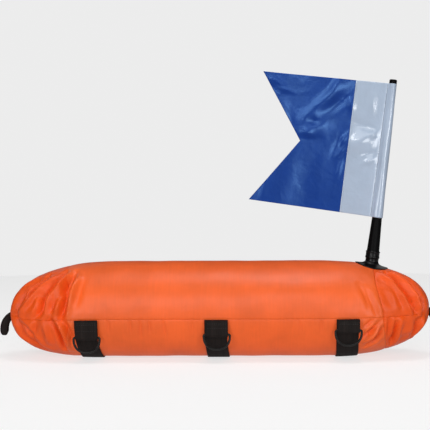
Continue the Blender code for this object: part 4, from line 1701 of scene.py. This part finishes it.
    def ring(self, strap: StrapPlace, face: Face) -> Piece:
        """One D-ring, hanging straight down from its bar.

        Args:
            strap: the strap that it hangs from.
            face: the float's side.

        Returns:
            The object.
        """
        half = self.inner_width / 2 + self.wire
        corner = half - self.straps.width / 2 - self.seat
        points = [(x, 0.0) for x in np.linspace(0, half - corner, self.bar_steps)[:-1]]
        for angle in np.linspace(math.pi / 2, 0, self.corner_steps)[:-1]:
            x, z = half - corner + corner * math.cos(angle), -corner + corner * math.sin(angle)
            points.append((x, z))
        for angle in np.linspace(0, math.pi / 2, self.bow_steps)[:-1]:
            across, down = (f(angle) ** (2 / self.power) for f in (math.cos, math.sin))
            points.append((half * across, -corner - (self.drop - corner) * down))
        points.append((0.0, -self.drop))
        line = np.array(points + [(-x, z) for x, z in points[-2:0:-1]])
        path = np.stack([line[:, 0], np.zeros(len(line)), line[:, 1]], -1) + self.bar(strap, face)
        name = f"d_ring_{strap.ending(face)}_wire"
        return wire_ring(name, path, self.wire, (0, 1, 0), RING)

    def build(self) -> None:
        """Make the six rings with their keepers."""
        for strap in STRAPS:
            for face in Face:
                ending = strap.ending(face)
                piece = self.keeper(strap, face)
                settle(piece, "float_body", "black_webbing", "ring_keeper_" + ending)
                settle(self.stitching(strap, face), "float_body", "black_webbing")
                settle(self.ring(strap, face), "ring_" + ending, "ring_steel", "d_ring_" + ending)


@dataclass
class TowLoops:
    """A loop of webbing out of each nose, which hangs down by its own weight."""

    form: Form
    width: float = 12.4 * MM
    thickness: float = 2.8 * MM
    reach: float = 12.4 * MM
    drop: float = 38.5 * MM
    inset: float = 10 * MM
    spread: float = 8.2 * MM
    root_spread: float = 3.6 * MM
    shoulder: float = 26 * MM
    sink: float = 2.2 * MM
    pinch: float = 0.42
    least_run: float = 0.1 * MM
    width_steps: int = 10
    shoulder_steps: int = 22
    leg_steps: int = 6
    foot_steps: int = 12
    smoothings: int = 4

    def build(self) -> None:
        """Make both loops."""
        for end in self.form.ends:
            settle(self.loop(end), "float_body", "black_webbing", "tow_loop_" + end.name)

    def line(self, end: Taper) -> tuple[Array, Array]:
        """The middle of a loop's webbing, down the front leg and up the back one.

        Args:
            end: the end that it comes out of.

        Returns:
            The line's points, and the share of the webbing's width that each has.
        """
        side, nose = end.side.value, self.form.length / 2
        root_z = float(self.form.centre_and_radius(np.array(side * nose))[0]) - self.sink
        far, foot = nose + self.reach, root_z - self.drop + self.sink + self.spread
        leg, widths = [], []
        for angle in np.linspace(0, math.pi / 2, self.shoulder_steps):
            x = nose - self.inset + (self.reach + self.inset) * math.sin(angle)
            spread = from_to(self.root_spread, self.spread, math.sin(angle))
            leg.append((side * x, spread, root_z - self.shoulder * (1 - math.cos(angle))))
            widths.append(1.0)
        for z in np.linspace(leg[-1][2], foot, self.leg_steps)[1:-1]:
            leg.append((side * far, self.spread, z))
            widths.append(1.0)
        for angle in np.linspace(0, math.pi / 2, self.foot_steps):
            share = math.sin(angle)
            leg.append((side * far, self.spread * math.cos(angle), foot - self.spread * share))
            widths.append(1 - self.pinch * share**2)
        path = np.array(leg + [(x, -y, z) for x, y, z in leg[-2::-1]])
        return path, np.array(widths + widths[-2::-1])

    def loop(self, end: Taper) -> Piece:
        """One loop, a ribbon whose flat sides stay to the front and back down its legs.

        Args:
            end: the end that it comes out of.

        Returns:
            The object.
        """
        path, widths = self.line(end)
        tangent = unit(np.gradient(path, axis=0))
        run = np.gradient(path * [1, 0, 1], axis=0)
        run[np.linalg.norm(run, axis=1) < self.least_run] = (0, 0, -1)
        run[np.arange(len(run)) > len(run) // 2] *= -1
        run = unit(run)
        across = np.stack([-run[:, 2], np.zeros(len(run)), run[:, 0]], -1) * end.side.value
        for _ in range(self.smoothings):
            across[1:-1] = (across[:-2] + across[1:-1] + across[2:]) / 3
        across = unit(across - tangent * np.sum(across * tangent, axis=1, keepdims=True))
        section = band_section(self.width, self.thickness, self.width_steps)
        rows = path[:, None] + across[:, None] * (section[None, :, :1] * widths[:, None, None])
        rows = rows + np.cross(tangent, across)[:, None] * section[None, :, 1:]
        marks = section_marks(section, distances(path))
        return grid_object(f"tow_loop_{end.name}_webbing", rows, marks, WEBBING, True)


# Zip and valve


@dataclass
class BackFittings:
    """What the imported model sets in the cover's back: the zip with its hems, and the valve.

    The lifts of the tape's and the hem's rows off the cover's skin are in mm, and so is how far
    the hem's rows lie out from the slot's edge.
    """

    form: Form
    openings: Openings
    nodes: dict
    bevel: float = 0.35 * MM
    tape_inner: float = 3.0 * MM
    tape_outer: float = 11 * MM
    tape_lifts: tuple[float, ...] = (-0.2, -0.35, -0.5, -0.6, -0.8, -1.2, -1.9, -2.4, -2.8)
    hem_outs: tuple[float, ...] = (0, -0.3, -0.2, 0.5, 1.6, 3.5, 5.6, 6.7, 7.2)
    hem_lifts: tuple[float, ...] = (-2.6, -1.2, 0.1, 0.75, 0.95, 0.95, 0.8, 0.35, -0.9)
    stitch_out: float = 3.4 * MM
    stitch_lift: float = 1.0 * MM
    steps: int = 120

    def build(self) -> None:
        """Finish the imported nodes, replace the tapes by woven ones, and sew the hems."""
        kept = {
            ACETAL: ("zip_chain", "zip_slider", "zip_pull"),
            MOULDED: ("valve_grommet",),
            VINYL: ("valve_base", "valve_cap"),
        }
        for finish, names in kept.items():
            for name in names:
                dress(self.nodes[name], finish, self.bevel)
        hem = np.stack([self.hem_outs, self.hem_lifts], -1)
        edge = self.openings.zip_half_width
        across = np.linspace(self.tape_inner, self.tape_outer, len(self.tape_lifts))
        for sign, name in ((1, "upper"), (-1, "lower")):
            piece = self.strip(f"zip_tape_{name}_weave", sign, across, self.tape_lifts, across, TAPE)
            settle(piece, "float_body", "zip_tape", "zip_tape_" + name)
            out, lengths = (edge / MM + hem[:, 0]) * MM, distances(hem * MM)
            piece = self.strip(f"zip_hem_{name}", sign, out, self.hem_lifts, lengths, NYLON)
            settle(piece, "float_body", "orange_nylon")
            path = self.line(sign * (edge + self.stitch_out), self.stitch_lift)
            out = (path - [0, 0, self.form.axis_height]) * [0, 1, 1]
            piece = Stitch().row(f"zip_hem_{name}_stitching", path, out, SEAM_THREAD)
            settle(piece, "float_body", "orange_nylon")

    def line(self, across: float, lift: float) -> Array:
        """A line along the zip.

        Args:
            across: how far they lie from its middle.
            lift: how far off the skin.

        Returns:
            The points.
        """
        half = self.openings.zip_half_length
        x = np.linspace(-half, half, self.steps)
        return self.form.skin(x, self.openings.zip_angle + across / self.form.radius, lift)

    def strip(
        self, name: str, sign: int, across: Array, lifts: Sequence[float], marks: Array, finish: Finish
    ) -> Piece:
        """A strip of cloth along one side of the zip.

        Args:
            name: the piece's name.
            sign: the side, 1 for the upper one and -1 for the lower.
            across: how far each of its rows lies from the zip's middle.
            lifts: how far each lies off the skin, in mm.
            marks: where each lies on the cloth.
            finish: the cloth.

        Returns:
            The object.
        """
        rows = np.stack([self.line(sign * a, lift * MM) for a, lift in zip(across, lifts)])
        marks = cloth_marks(rows[0, :, 0][None], marks[:, None])
        if sign > 0:
            rows, marks = rows[::-1], marks[::-1]
        return grid_object(name, rows, marks, finish)


# Mast and flag


@dataclass
class Mast:
    """The rubber boot draped on the cover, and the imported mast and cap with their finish.

    The boot's flange thins out from the neck. Points of its upper side lie at flange_shares of
    the way from the neck to its rim, at flange_heights in mm, and its lower side's at foot_shares.
    """

    form: Form
    nodes: dict
    x: float = 265.7 * MM
    tilt: float = math.radians(6.75)
    bevel: float = 0.3 * MM
    flange_radius: float = 28.5 * MM
    flange_rim: tuple[float, float] = (0.9 * MM, 0.1 * MM)
    flange_shares: tuple[float, ...] = (0.05, 0.13, 0.25, 0.42, 0.60, 0.80, 0.94)
    flange_heights: tuple[float, ...] = (4.2, 3.0, 2.1, 1.6, 1.4, 1.3, 1.25)
    foot_shares: tuple[float, ...] = (0.9, 0.7, 0.5, 0.2)
    collar_radius: float = 12.3 * MM
    neck_radius: float = 11.6 * MM
    height: float = 24 * MM
    lip: float = 2.2 * MM
    band: float = 12 * MM
    band_width: float = 3.0 * MM
    band_slope: float = 1.0 * MM
    groove: float = 0.5 * MM
    groove_slope: float = 0.4 * MM
    waist: float = 0.3 * MM
    waist_foot: float = 6.2 * MM
    bore: float = 9.7 * MM
    floor: float = 3 * MM
    chamfer: float = 0.6 * MM
    chamfer_width: float = 0.5 * MM
    fillet: float = 0.7 * MM
    seat: float = 0.3 * MM
    draped_below: float = 2.4 * MM
    sides: int = 72

    @property
    def matrix(self) -> Matrix:
        """The mast's frame: Z up along it, X towards the flag's fly, Y to the front.

        Returns:
            The matrix from that frame to the float's.
        """
        along = Vector((math.sin(self.tilt), 0, math.cos(self.tilt)))
        fly = Vector((-math.cos(self.tilt), 0, math.sin(self.tilt)))
        base = Vector((self.x, 0, float(self.form.height_at(np.array(self.x), np.array(0.0)))))
        turned_by = Matrix((fly, along.cross(fly), along)).transposed().to_4x4()
        return Matrix.Translation(base) @ turned_by

    def profile(self) -> list[tuple[float, float]]:
        """The boot in section, from its bore's floor over the collar to the flange and below.

        Returns:
            (radius, height) points.
        """
        collar, neck, height, band = self.collar_radius, self.neck_radius, self.height, self.band
        inner = collar - self.groove
        points = [
            (0, self.floor),
            (self.bore, self.floor),
            (self.bore, height - self.chamfer),
            (self.bore + self.chamfer_width, height),
            (collar, height),
            (collar, height - self.lip),
            (inner, height - self.lip - self.groove_slope),
            (inner, band + self.band_width + self.groove_slope),
            (collar, band + self.band_width),
            (collar, band),
            (neck - self.waist, band - self.band_slope),
            (neck - self.waist, self.waist_foot),
        ]
        flare = self.flange_radius - neck
        upper = zip(self.flange_shares, self.flange_heights)
        points += [(neck + flare * out, up * MM) for out, up in upper]
        points += [(self.flange_radius, up) for up in self.flange_rim]
        return points + [(neck + flare * out, 0.0) for out in self.foot_shares] + [(0, 0)]

    def boot(self) -> Piece:
        """The boot: a rimmed socket on a neck, whose thin flange is draped over the cover.

        Returns:
            The object.
        """
        profile = rounded(self.profile(), self.fillet)
        piece = turned("mast_boot_rubber", profile, RUBBER, self.sides)
        spots = np.empty(len(piece.data.vertices) * 3, np.float32)
        piece.data.vertices.foreach_get("co", spots)
        spots = spots.reshape(-1, 3).astype(float)
        rise = spots[:, 2].copy()
        inside = np.hypot(spots[:, 0], spots[:, 1]) < self.bore + self.seat
        frame = self.matrix
        world = spots @ np.array(frame.to_3x3()).T + np.array(frame.translation)
        pull = 1 - smooth_share((rise - self.draped_below) / (self.band - self.draped_below))
        pull[inside & (rise > 0)] = 0
        draped = self.form.height_at(world[:, 0], world[:, 1]) + self.seat + rise
        world[:, 2] += (draped - world[:, 2]) * pull
        piece.data.vertices.foreach_set("co", world.astype(np.float32).ravel())
        piece.data.update()
        return piece

    def build(self) -> None:
        """Make the boot, and finish the mast and its cap."""
        settle(self.boot(), "float_body", "boot_rubber", "mast_boot")
        for name in ("mast", "mast_cap"):
            dress(self.nodes[name], MOULDED, self.bevel)


# Soft dents and swellings of the flag's cloth: the height in mm that it stands to the front, its
# half widths in mm along and across, how many degrees its long way is turned from the fly's
# direction, and its place as mm out from the mast and mm up from the flag's foot.
FLAG_DENTS: tuple[tuple[float, ...], ...] = (
    (2.2, 16, 7, 20, 201, 218),
    (1.5, 17, 4.5, 12, 187, 205),
    (-1.3, 15, 5, 20, 208, 208),
    (1.4, 17, 6, 62, 171, 163),
    (3.0, 40, 10, 135, 107, 200),
    (-2.0, 34, 9, 133, 94, 186),
    (2.1, 17, 7, 118, 97, 223),
    (1.7, 12, 6, 74, 68, 193),
    (1.6, 15, 5, 119, 75, 127),
    (1.3, 12, 4, 119, 76, 106),
    (1.0, 16, 4, 98, 75, 77),
    (-1.2, 16, 5, 110, 84, 116),
    (3.5, 24, 15, 150, 46, 127),
    (-1.8, 17, 8, 10, 45, 156),
    (1.8, 10, 6, 159, 23, 143),
    (1.6, 13, 4.5, 154, 24, 96),
    (-1.3, 11, 4.5, 164, 28, 109),
    (1.0, 24, 7, 86, 32, 200),
    (0.9, 24, 7, 97, 202, 24),
    (0.6, 60, 16, 91, 104, 50),
    (-0.5, 55, 15, 92, 134, 46),
    (0.4, 55, 16, 94, 165, 44),
    (4.2, 21, 16, 170, 130, 150),
    (-4.0, 12, 9, 170, 130, 153),
    (2.5, 12, 7, 20, 138, 132),
    (-1.2, 20, 6, 172, 130, 122),
)


@dataclass
class Flag:
    """The flag: a white panel whose sleeve wraps the mast, and a notched blue one sewn to it.

    The middle_radius is the mast's at the flag's foot, and top_radius the one at its top. The
    cloth stands out of its plane in a slow wave and in dents, which start at calm from the mast
    and have their full height after ease more.
    """

    form: Form
    mast: Mast
    foot: float = 83 * MM
    hoist: float = 233.5 * MM
    fly: float = 225.7 * MM
    end_height: float = 224 * MM
    end_rise: float = 6.3 * MM
    notch: float = 77 * MM
    white_top: float = 64 * MM
    white_foot: float = 66 * MM
    cloth: float = 0.7 * MM
    plies_gap: float = 0.3 * MM
    middle_radius: float = 8.6 * MM
    top_radius: float = 5.6 * MM
    sleeve_play: float = 0.5 * MM
    sleeve_slack: float = 0.035
    sleeve_waves: tuple[int, int] = (3, 9)
    stitch_margin: float = 2 * MM
    sleeve_hem: float = 4 * MM
    stitch_out: float = 2.9 * MM
    sewn_depth: float = 0.14 * MM
    sewn_width: float = 1.7 * MM
    lap: float = 5 * MM
    lap_gap: float = 0.06 * MM
    wave: float = 2.4 * MM
    wave_length: float = 150 * MM
    calm: float = 9 * MM
    ease: float = 16 * MM
    rows: int = 130
    panel_columns: int = 56
    sleeve_columns: int = 28
    hem_columns: int = 4
    blue_columns: int = 84
    stitch: Stitch = Stitch(pitch=2.8 * MM, shown_share=0.84, radius=0.42 * MM)
    stitch_lift: float = 0.15 * MM
    stitch_cloth_share: float = 1.05
    stitch_end_share: float = 0.01
    stitch_places: int = 60
    edge_margin: float = 2.2 * MM

    def mast_radius(self, up: Array | float) -> Array | float:
        """The mast's radius in the sleeve at a share of the height."""
        return from_to(self.middle_radius, self.top_radius, up)

    def white_edge(self, up: Array | float) -> Array | float:
        """How far out the white panel reaches at a share of the height."""
        return from_to(self.white_foot, self.white_top, up)

    def stand(self, reach: Array, up: Array) -> Array:
        """How far the cloth stands out of its plane.

        Args:
            reach: distances from the mast's axis.
            up: shares of the height.

        Returns:
            Distances in metres, to the front where they are above nothing.
        """
        swing = np.sin(2 * math.pi * reach / self.wave_length + math.pi * up)
        total = self.wave * reach / self.fly * swing
        for height, long_way, wide, turned_by, out, rise in FLAG_DENTS:
            cos, sin = math.cos(math.radians(turned_by)), math.sin(math.radians(turned_by))
            a, b = reach - out * MM, up * self.hoist - rise * MM
            first, second = (a * cos + b * sin) / (long_way * MM), (b * cos - a * sin) / (wide * MM)
            total = total + height * MM * np.exp(-(first**2) - second**2)
        sewn = (reach - self.mast_radius(up) - self.stitch_out) / self.sewn_width
        near = smooth_share((reach - self.calm) / self.ease)
        return total * near - self.sewn_depth * np.exp(-(sewn**2))

    def point(self, reach: Array, up: Array | float, off: float) -> Array:
        """Points of the flag in the mast's frame.

        Args:
            reach: distances from the mast's axis.
            up: shares of the height.
            off: how far the ply's middle lies off the flag's.

        Returns:
            Points, with a last axis of 3.
        """
        along = reach / self.fly
        height = from_to(self.hoist, self.end_height, along)
        rise = self.foot + self.end_rise * along + height * up
        return np.stack([reach, off + self.stand(reach, up), rise], -1)

    def white_rows(self) -> Array:
        """The white panel in section: in from its sewn edge, round the mast and back to its hem.

        Returns:
            Points, rows up the flag by columns by 3.
        """
        made = []
        off = (self.cloth + self.plies_gap) / 2
        for up in np.linspace(0, 1, self.rows):
            radius = self.mast_radius(up) + self.sleeve_play + self.cloth / 2
            stitch = radius + self.stitch_margin
            panel = np.linspace(self.white_edge(up), stitch, self.panel_columns)
            first = math.acos(radius / stitch)
            turn = np.linspace(first, 2 * math.pi - first, self.sleeve_columns)
            waves, climb = self.sleeve_waves
            reach = radius * (1 + self.sleeve_slack * np.sin(turn * waves + up * climb))
            height = np.full_like(turn, self.foot + self.hoist * up)
            ring = np.stack([reach * np.cos(turn), reach * np.sin(turn), height], -1)
            back = np.linspace(stitch, stitch + self.sleeve_hem, self.hem_columns)
            row = [self.point(panel, up, off), ring, self.point(back, up, -off)]
            made.append(np.concatenate(row))
        return np.stack(made)

    def blue_rows(self) -> Array:
        """The blue panel, from under the white one's edge to the notched fly.

        Returns:
            Points, rows up the flag by columns by 3.
        """
        off = (self.cloth + self.plies_gap) / 2 - self.cloth - self.lap_gap
        made = []
        for up in np.linspace(0, 1, self.rows * 2 - 1):
            near = self.white_edge(up) - self.lap
            far = self.fly - self.notch * (1 - abs(2 * up - 1))
            made.append(self.point(from_to(near, far, np.linspace(0, 1, self.blue_columns)), up, off))
        return np.stack(made)

    def sheet(self, name: str, rows: Array, finish: Finish) -> Piece:
        """A piece of the flag's cloth with its thickness, in place on the mast.

        Args:
            name: the piece's name.
            rows: its points.
            finish: the cloth.

        Returns:
            The object.
        """
        across = np.stack([distances(row) for row in rows])
        along = np.linspace(0, self.hoist, len(rows))[:, None]
        piece = grid_object(name, rows, cloth_marks(across, along), finish)
        step = piece.modifiers.new("thickness", "SOLIDIFY")
        step.thickness = self.cloth
        step.offset = 0.0
        return move(piece, self.mast.matrix)

    def seam(self, name: str, beside: Callable, out_by: float, finish: Finish) -> Piece:
        """A row of stitches up the flag's front.

        Args:
            name: the piece's name.
            beside: the reach of the line that it follows, for shares of the height.
            out_by: how far out from that line it lies.
            finish: the thread.

        Returns:
            The object, in place on the mast.
        """
        up = np.linspace(self.stitch_end_share, 1 - self.stitch_end_share, self.stitch_places)
        off = self.cloth * self.stitch_cloth_share + self.stitch_lift
        path = self.point(beside(up) + out_by, up, off)
        out = np.broadcast_to([0.0, 1.0, 0.0], path.shape)
        return move(self.stitch.row(name, path, out, finish), self.mast.matrix)

    def build(self) -> None:
        rows = self.white_rows()
        white = self.sheet("flag_white_cloth", rows, FLAG_WHITE)
        settle(white, "flag_body", "flag_white", "flag_white_panel")
        rows = self.blue_rows()
        blue = self.sheet("flag_blue_cloth", rows, FLAG_BLUE)
        settle(blue, "flag_body", "flag_blue", "flag_blue_panel")
        seams = {
            # The sleeve's row is in the dark grey thread that also paints the shade of the seam's
            # crease
            "flag_sleeve_stitching": (self.mast_radius, self.stitch_out, FLAG_THREAD_AND_CREASE_SHADE),
            "flag_edge_stitching": (self.white_edge, -self.edge_margin, FLAG_EDGE_THREAD),
        }
        sewn = [self.seam(name, *values) for name, values in seams.items()]
        for piece in sewn:
            settle(piece, "flag_body", "flag_white")
        white.name


# Stage, light and camera


@dataclass(frozen=True)
class Softbox:
    """A rectangular studio light: its place, what it faces, its size and its power."""

    name: str
    place: tuple[float, float, float]
    aim: tuple[float, float, float]
    size: tuple[float, float]
    power: float

    def build(self) -> None:
        """Make the light."""
        data = bpy.data.lights.new(self.name, "AREA")
        data.shape = "RECTANGLE"
        data.size, data.size_y = self.size
        data.energy = self.power
        lamp = placed(self.name, data)
        lamp.location = self.place
        facing = Vector(self.aim) - Vector(self.place)
        lamp.rotation_euler = facing.to_track_quat("-Z", "Y").to_euler()


@dataclass
class Stage:
    """The pale studio: a backlit floor and a wall round it, softboxes, and the camera.

    The floor glows a little above the sheet that throws its light up at the float, which the
    camera doesn't see.
    """

    target: tuple[float, float, float] = (-0.0069, 0.0, 0.2464)
    distance: float = 2.1
    azimuth: float = math.radians(1.0)
    elevation: float = math.radians(2.3)
    roll: float = math.radians(-0.293)
    lens: float = 100.67
    sensor: float = 36.0
    room: float = 9.0
    room_steps: int = 32
    floor_radius: float = 1.7
    floor_drop: float = 0.3 * MM
    floor_steps: int = 24
    bounce_drop: float = 1 * MM
    world: float = 0.06
    floor_light: Backlit = Backlit("backlit_floor", "A1A1A1", 0.67)
    bounce_light: Backlit = Backlit("bounce_floor", "808080", 0.41)
    wall_light: Backlit = Backlit("backlit_wall", "101010", 0.84)
    softboxes: tuple[Softbox, ...] = (
        Softbox("overhead_softbox", (0.0, -0.1, 2.0), (0.0, 0.0, 0.1), (3.0, 0.5), 6.0),
        Softbox("spot_softbox", (0.17, -0.15, 1.9), (0.15, 0.0, 0.15), (0.35, 0.3), 6.4),
        Softbox("top_softbox", (0.0, -0.75, 2.3), (0.0, 0.0, 0.1), (2.6, 0.6), 7.2),
        Softbox("front_softbox", (0.0, -3.3, 1.9), (0.0, 0.0, 0.15), (3.0, 0.9), 24.5),
        Softbox("left_softbox", (-1.6, -2.9, 0.3), (-0.1, 0.0, 0.12), (1.3, 0.55), 27.0),
        Softbox("right_softbox", (1.6, -2.9, 0.3), (0.1, 0.0, 0.12), (1.3, 0.55), 29.0),
        Softbox("key_softbox", (-0.3, -3.0, 1.3), (0.1, 0.0, 0.3), (0.9, 0.3), 12.0),
        Softbox("rear_left_softbox", (-1.9, 2.8, 2.0), (0.0, 0.0, 0.15), (2.4, 2.0), 7.5),
        Softbox("rear_right_softbox", (1.9, 2.8, 2.0), (0.0, 0.0, 0.15), (2.4, 2.0), 7.5),
    )

    def sheet(self, name: str, profile: Outline, light: Backlit, *unseen: str) -> None:
        """One backlit sheet of the studio.

        Args:
            name: its name.
            profile: its (radius, height) points.
            light: its finish.
            unseen: the kinds of ray that don't meet it.
        """
        piece = turned(name, profile, light)
        for kind in unseen:
            setattr(piece, "visible_" + kind, False)

    def room_sheets(self) -> None:
        """A plain pale floor, lit from below, with a pale wall round it that casts no light."""
        shares = np.linspace(0, 1, self.floor_steps)
        disc = [(self.floor_radius * share**2, -self.floor_drop) for share in shares]
        self.sheet("studio_floor", disc, self.floor_light, "diffuse", "glossy")
        under = [(reach, height - self.bounce_drop) for reach, height in disc]
        self.sheet("studio_floor_bounce", under, self.bounce_light, "camera", "shadow")
        turns = np.linspace(-math.pi / 2, math.pi / 2, self.room_steps)
        wall = [(self.room * math.cos(turn), self.room * math.sin(turn)) for turn in turns]
        unseen = ("diffuse", "glossy", "transmission", "shadow")
        self.sheet("studio_wall", wall, self.wall_light, *unseen)

    def sky(self) -> None:
        """Even pale light from all round."""
        world = bpy.data.worlds.new("studio_air")
        bpy.context.scene.world = world
        world.use_nodes = True
        back = world.node_tree.nodes["Background"]
        back.inputs["Color"].default_value = WHITE
        back.inputs["Strength"].default_value = self.world

    def camera(self) -> None:
        """The camera at the photograph's place."""
        data = bpy.data.cameras.new("camera")
        data.lens, data.sensor_width = self.lens, self.sensor
        camera = placed("camera", data)
        a, e = self.azimuth, self.elevation
        back = Vector((math.sin(a) * math.cos(e), -math.cos(a) * math.cos(e), math.sin(e)))
        camera.location = Vector(self.target) + back * self.distance
        facing = (-back).to_track_quat("-Z", "Y").to_matrix()
        camera.rotation_euler = (facing @ Matrix.Rotation(self.roll, 3, "Z")).to_euler()
        bpy.context.scene.camera = camera

    def build(self) -> None:
        """Set up the camera, the room and the light."""
        self.camera()
        self.room_sheets()
        self.sky()
        for light in self.softboxes:
            light.build()
        bpy.context.scene.view_settings.view_transform = "Standard"
        LOG.info("stage is set")


def main() -> None:
    """Build the looks of the whole float in order."""
    logging.basicConfig(level=logging.INFO, format="%(name)s: %(message)s")
    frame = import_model()
    Stage().build()

    nodes = frame["nodes"]
    form = Form()
    openings = Openings(form)
    mast = Mast(form, nodes)
    relief = Relief(form, HeldFlat(form, openings, mast.x, mast.flange_radius))
    straps = Straps(form)
    Cover(form, relief, openings).build()
    Bladder(form).build()
    straps.build()
    RingsAndKeepers(form, straps).build()
    TowLoops(form).build()
    BackFittings(form, openings, nodes).build()
    mast.build()
    Flag(form, mast).build()


if __name__ == "__main__":
    main()
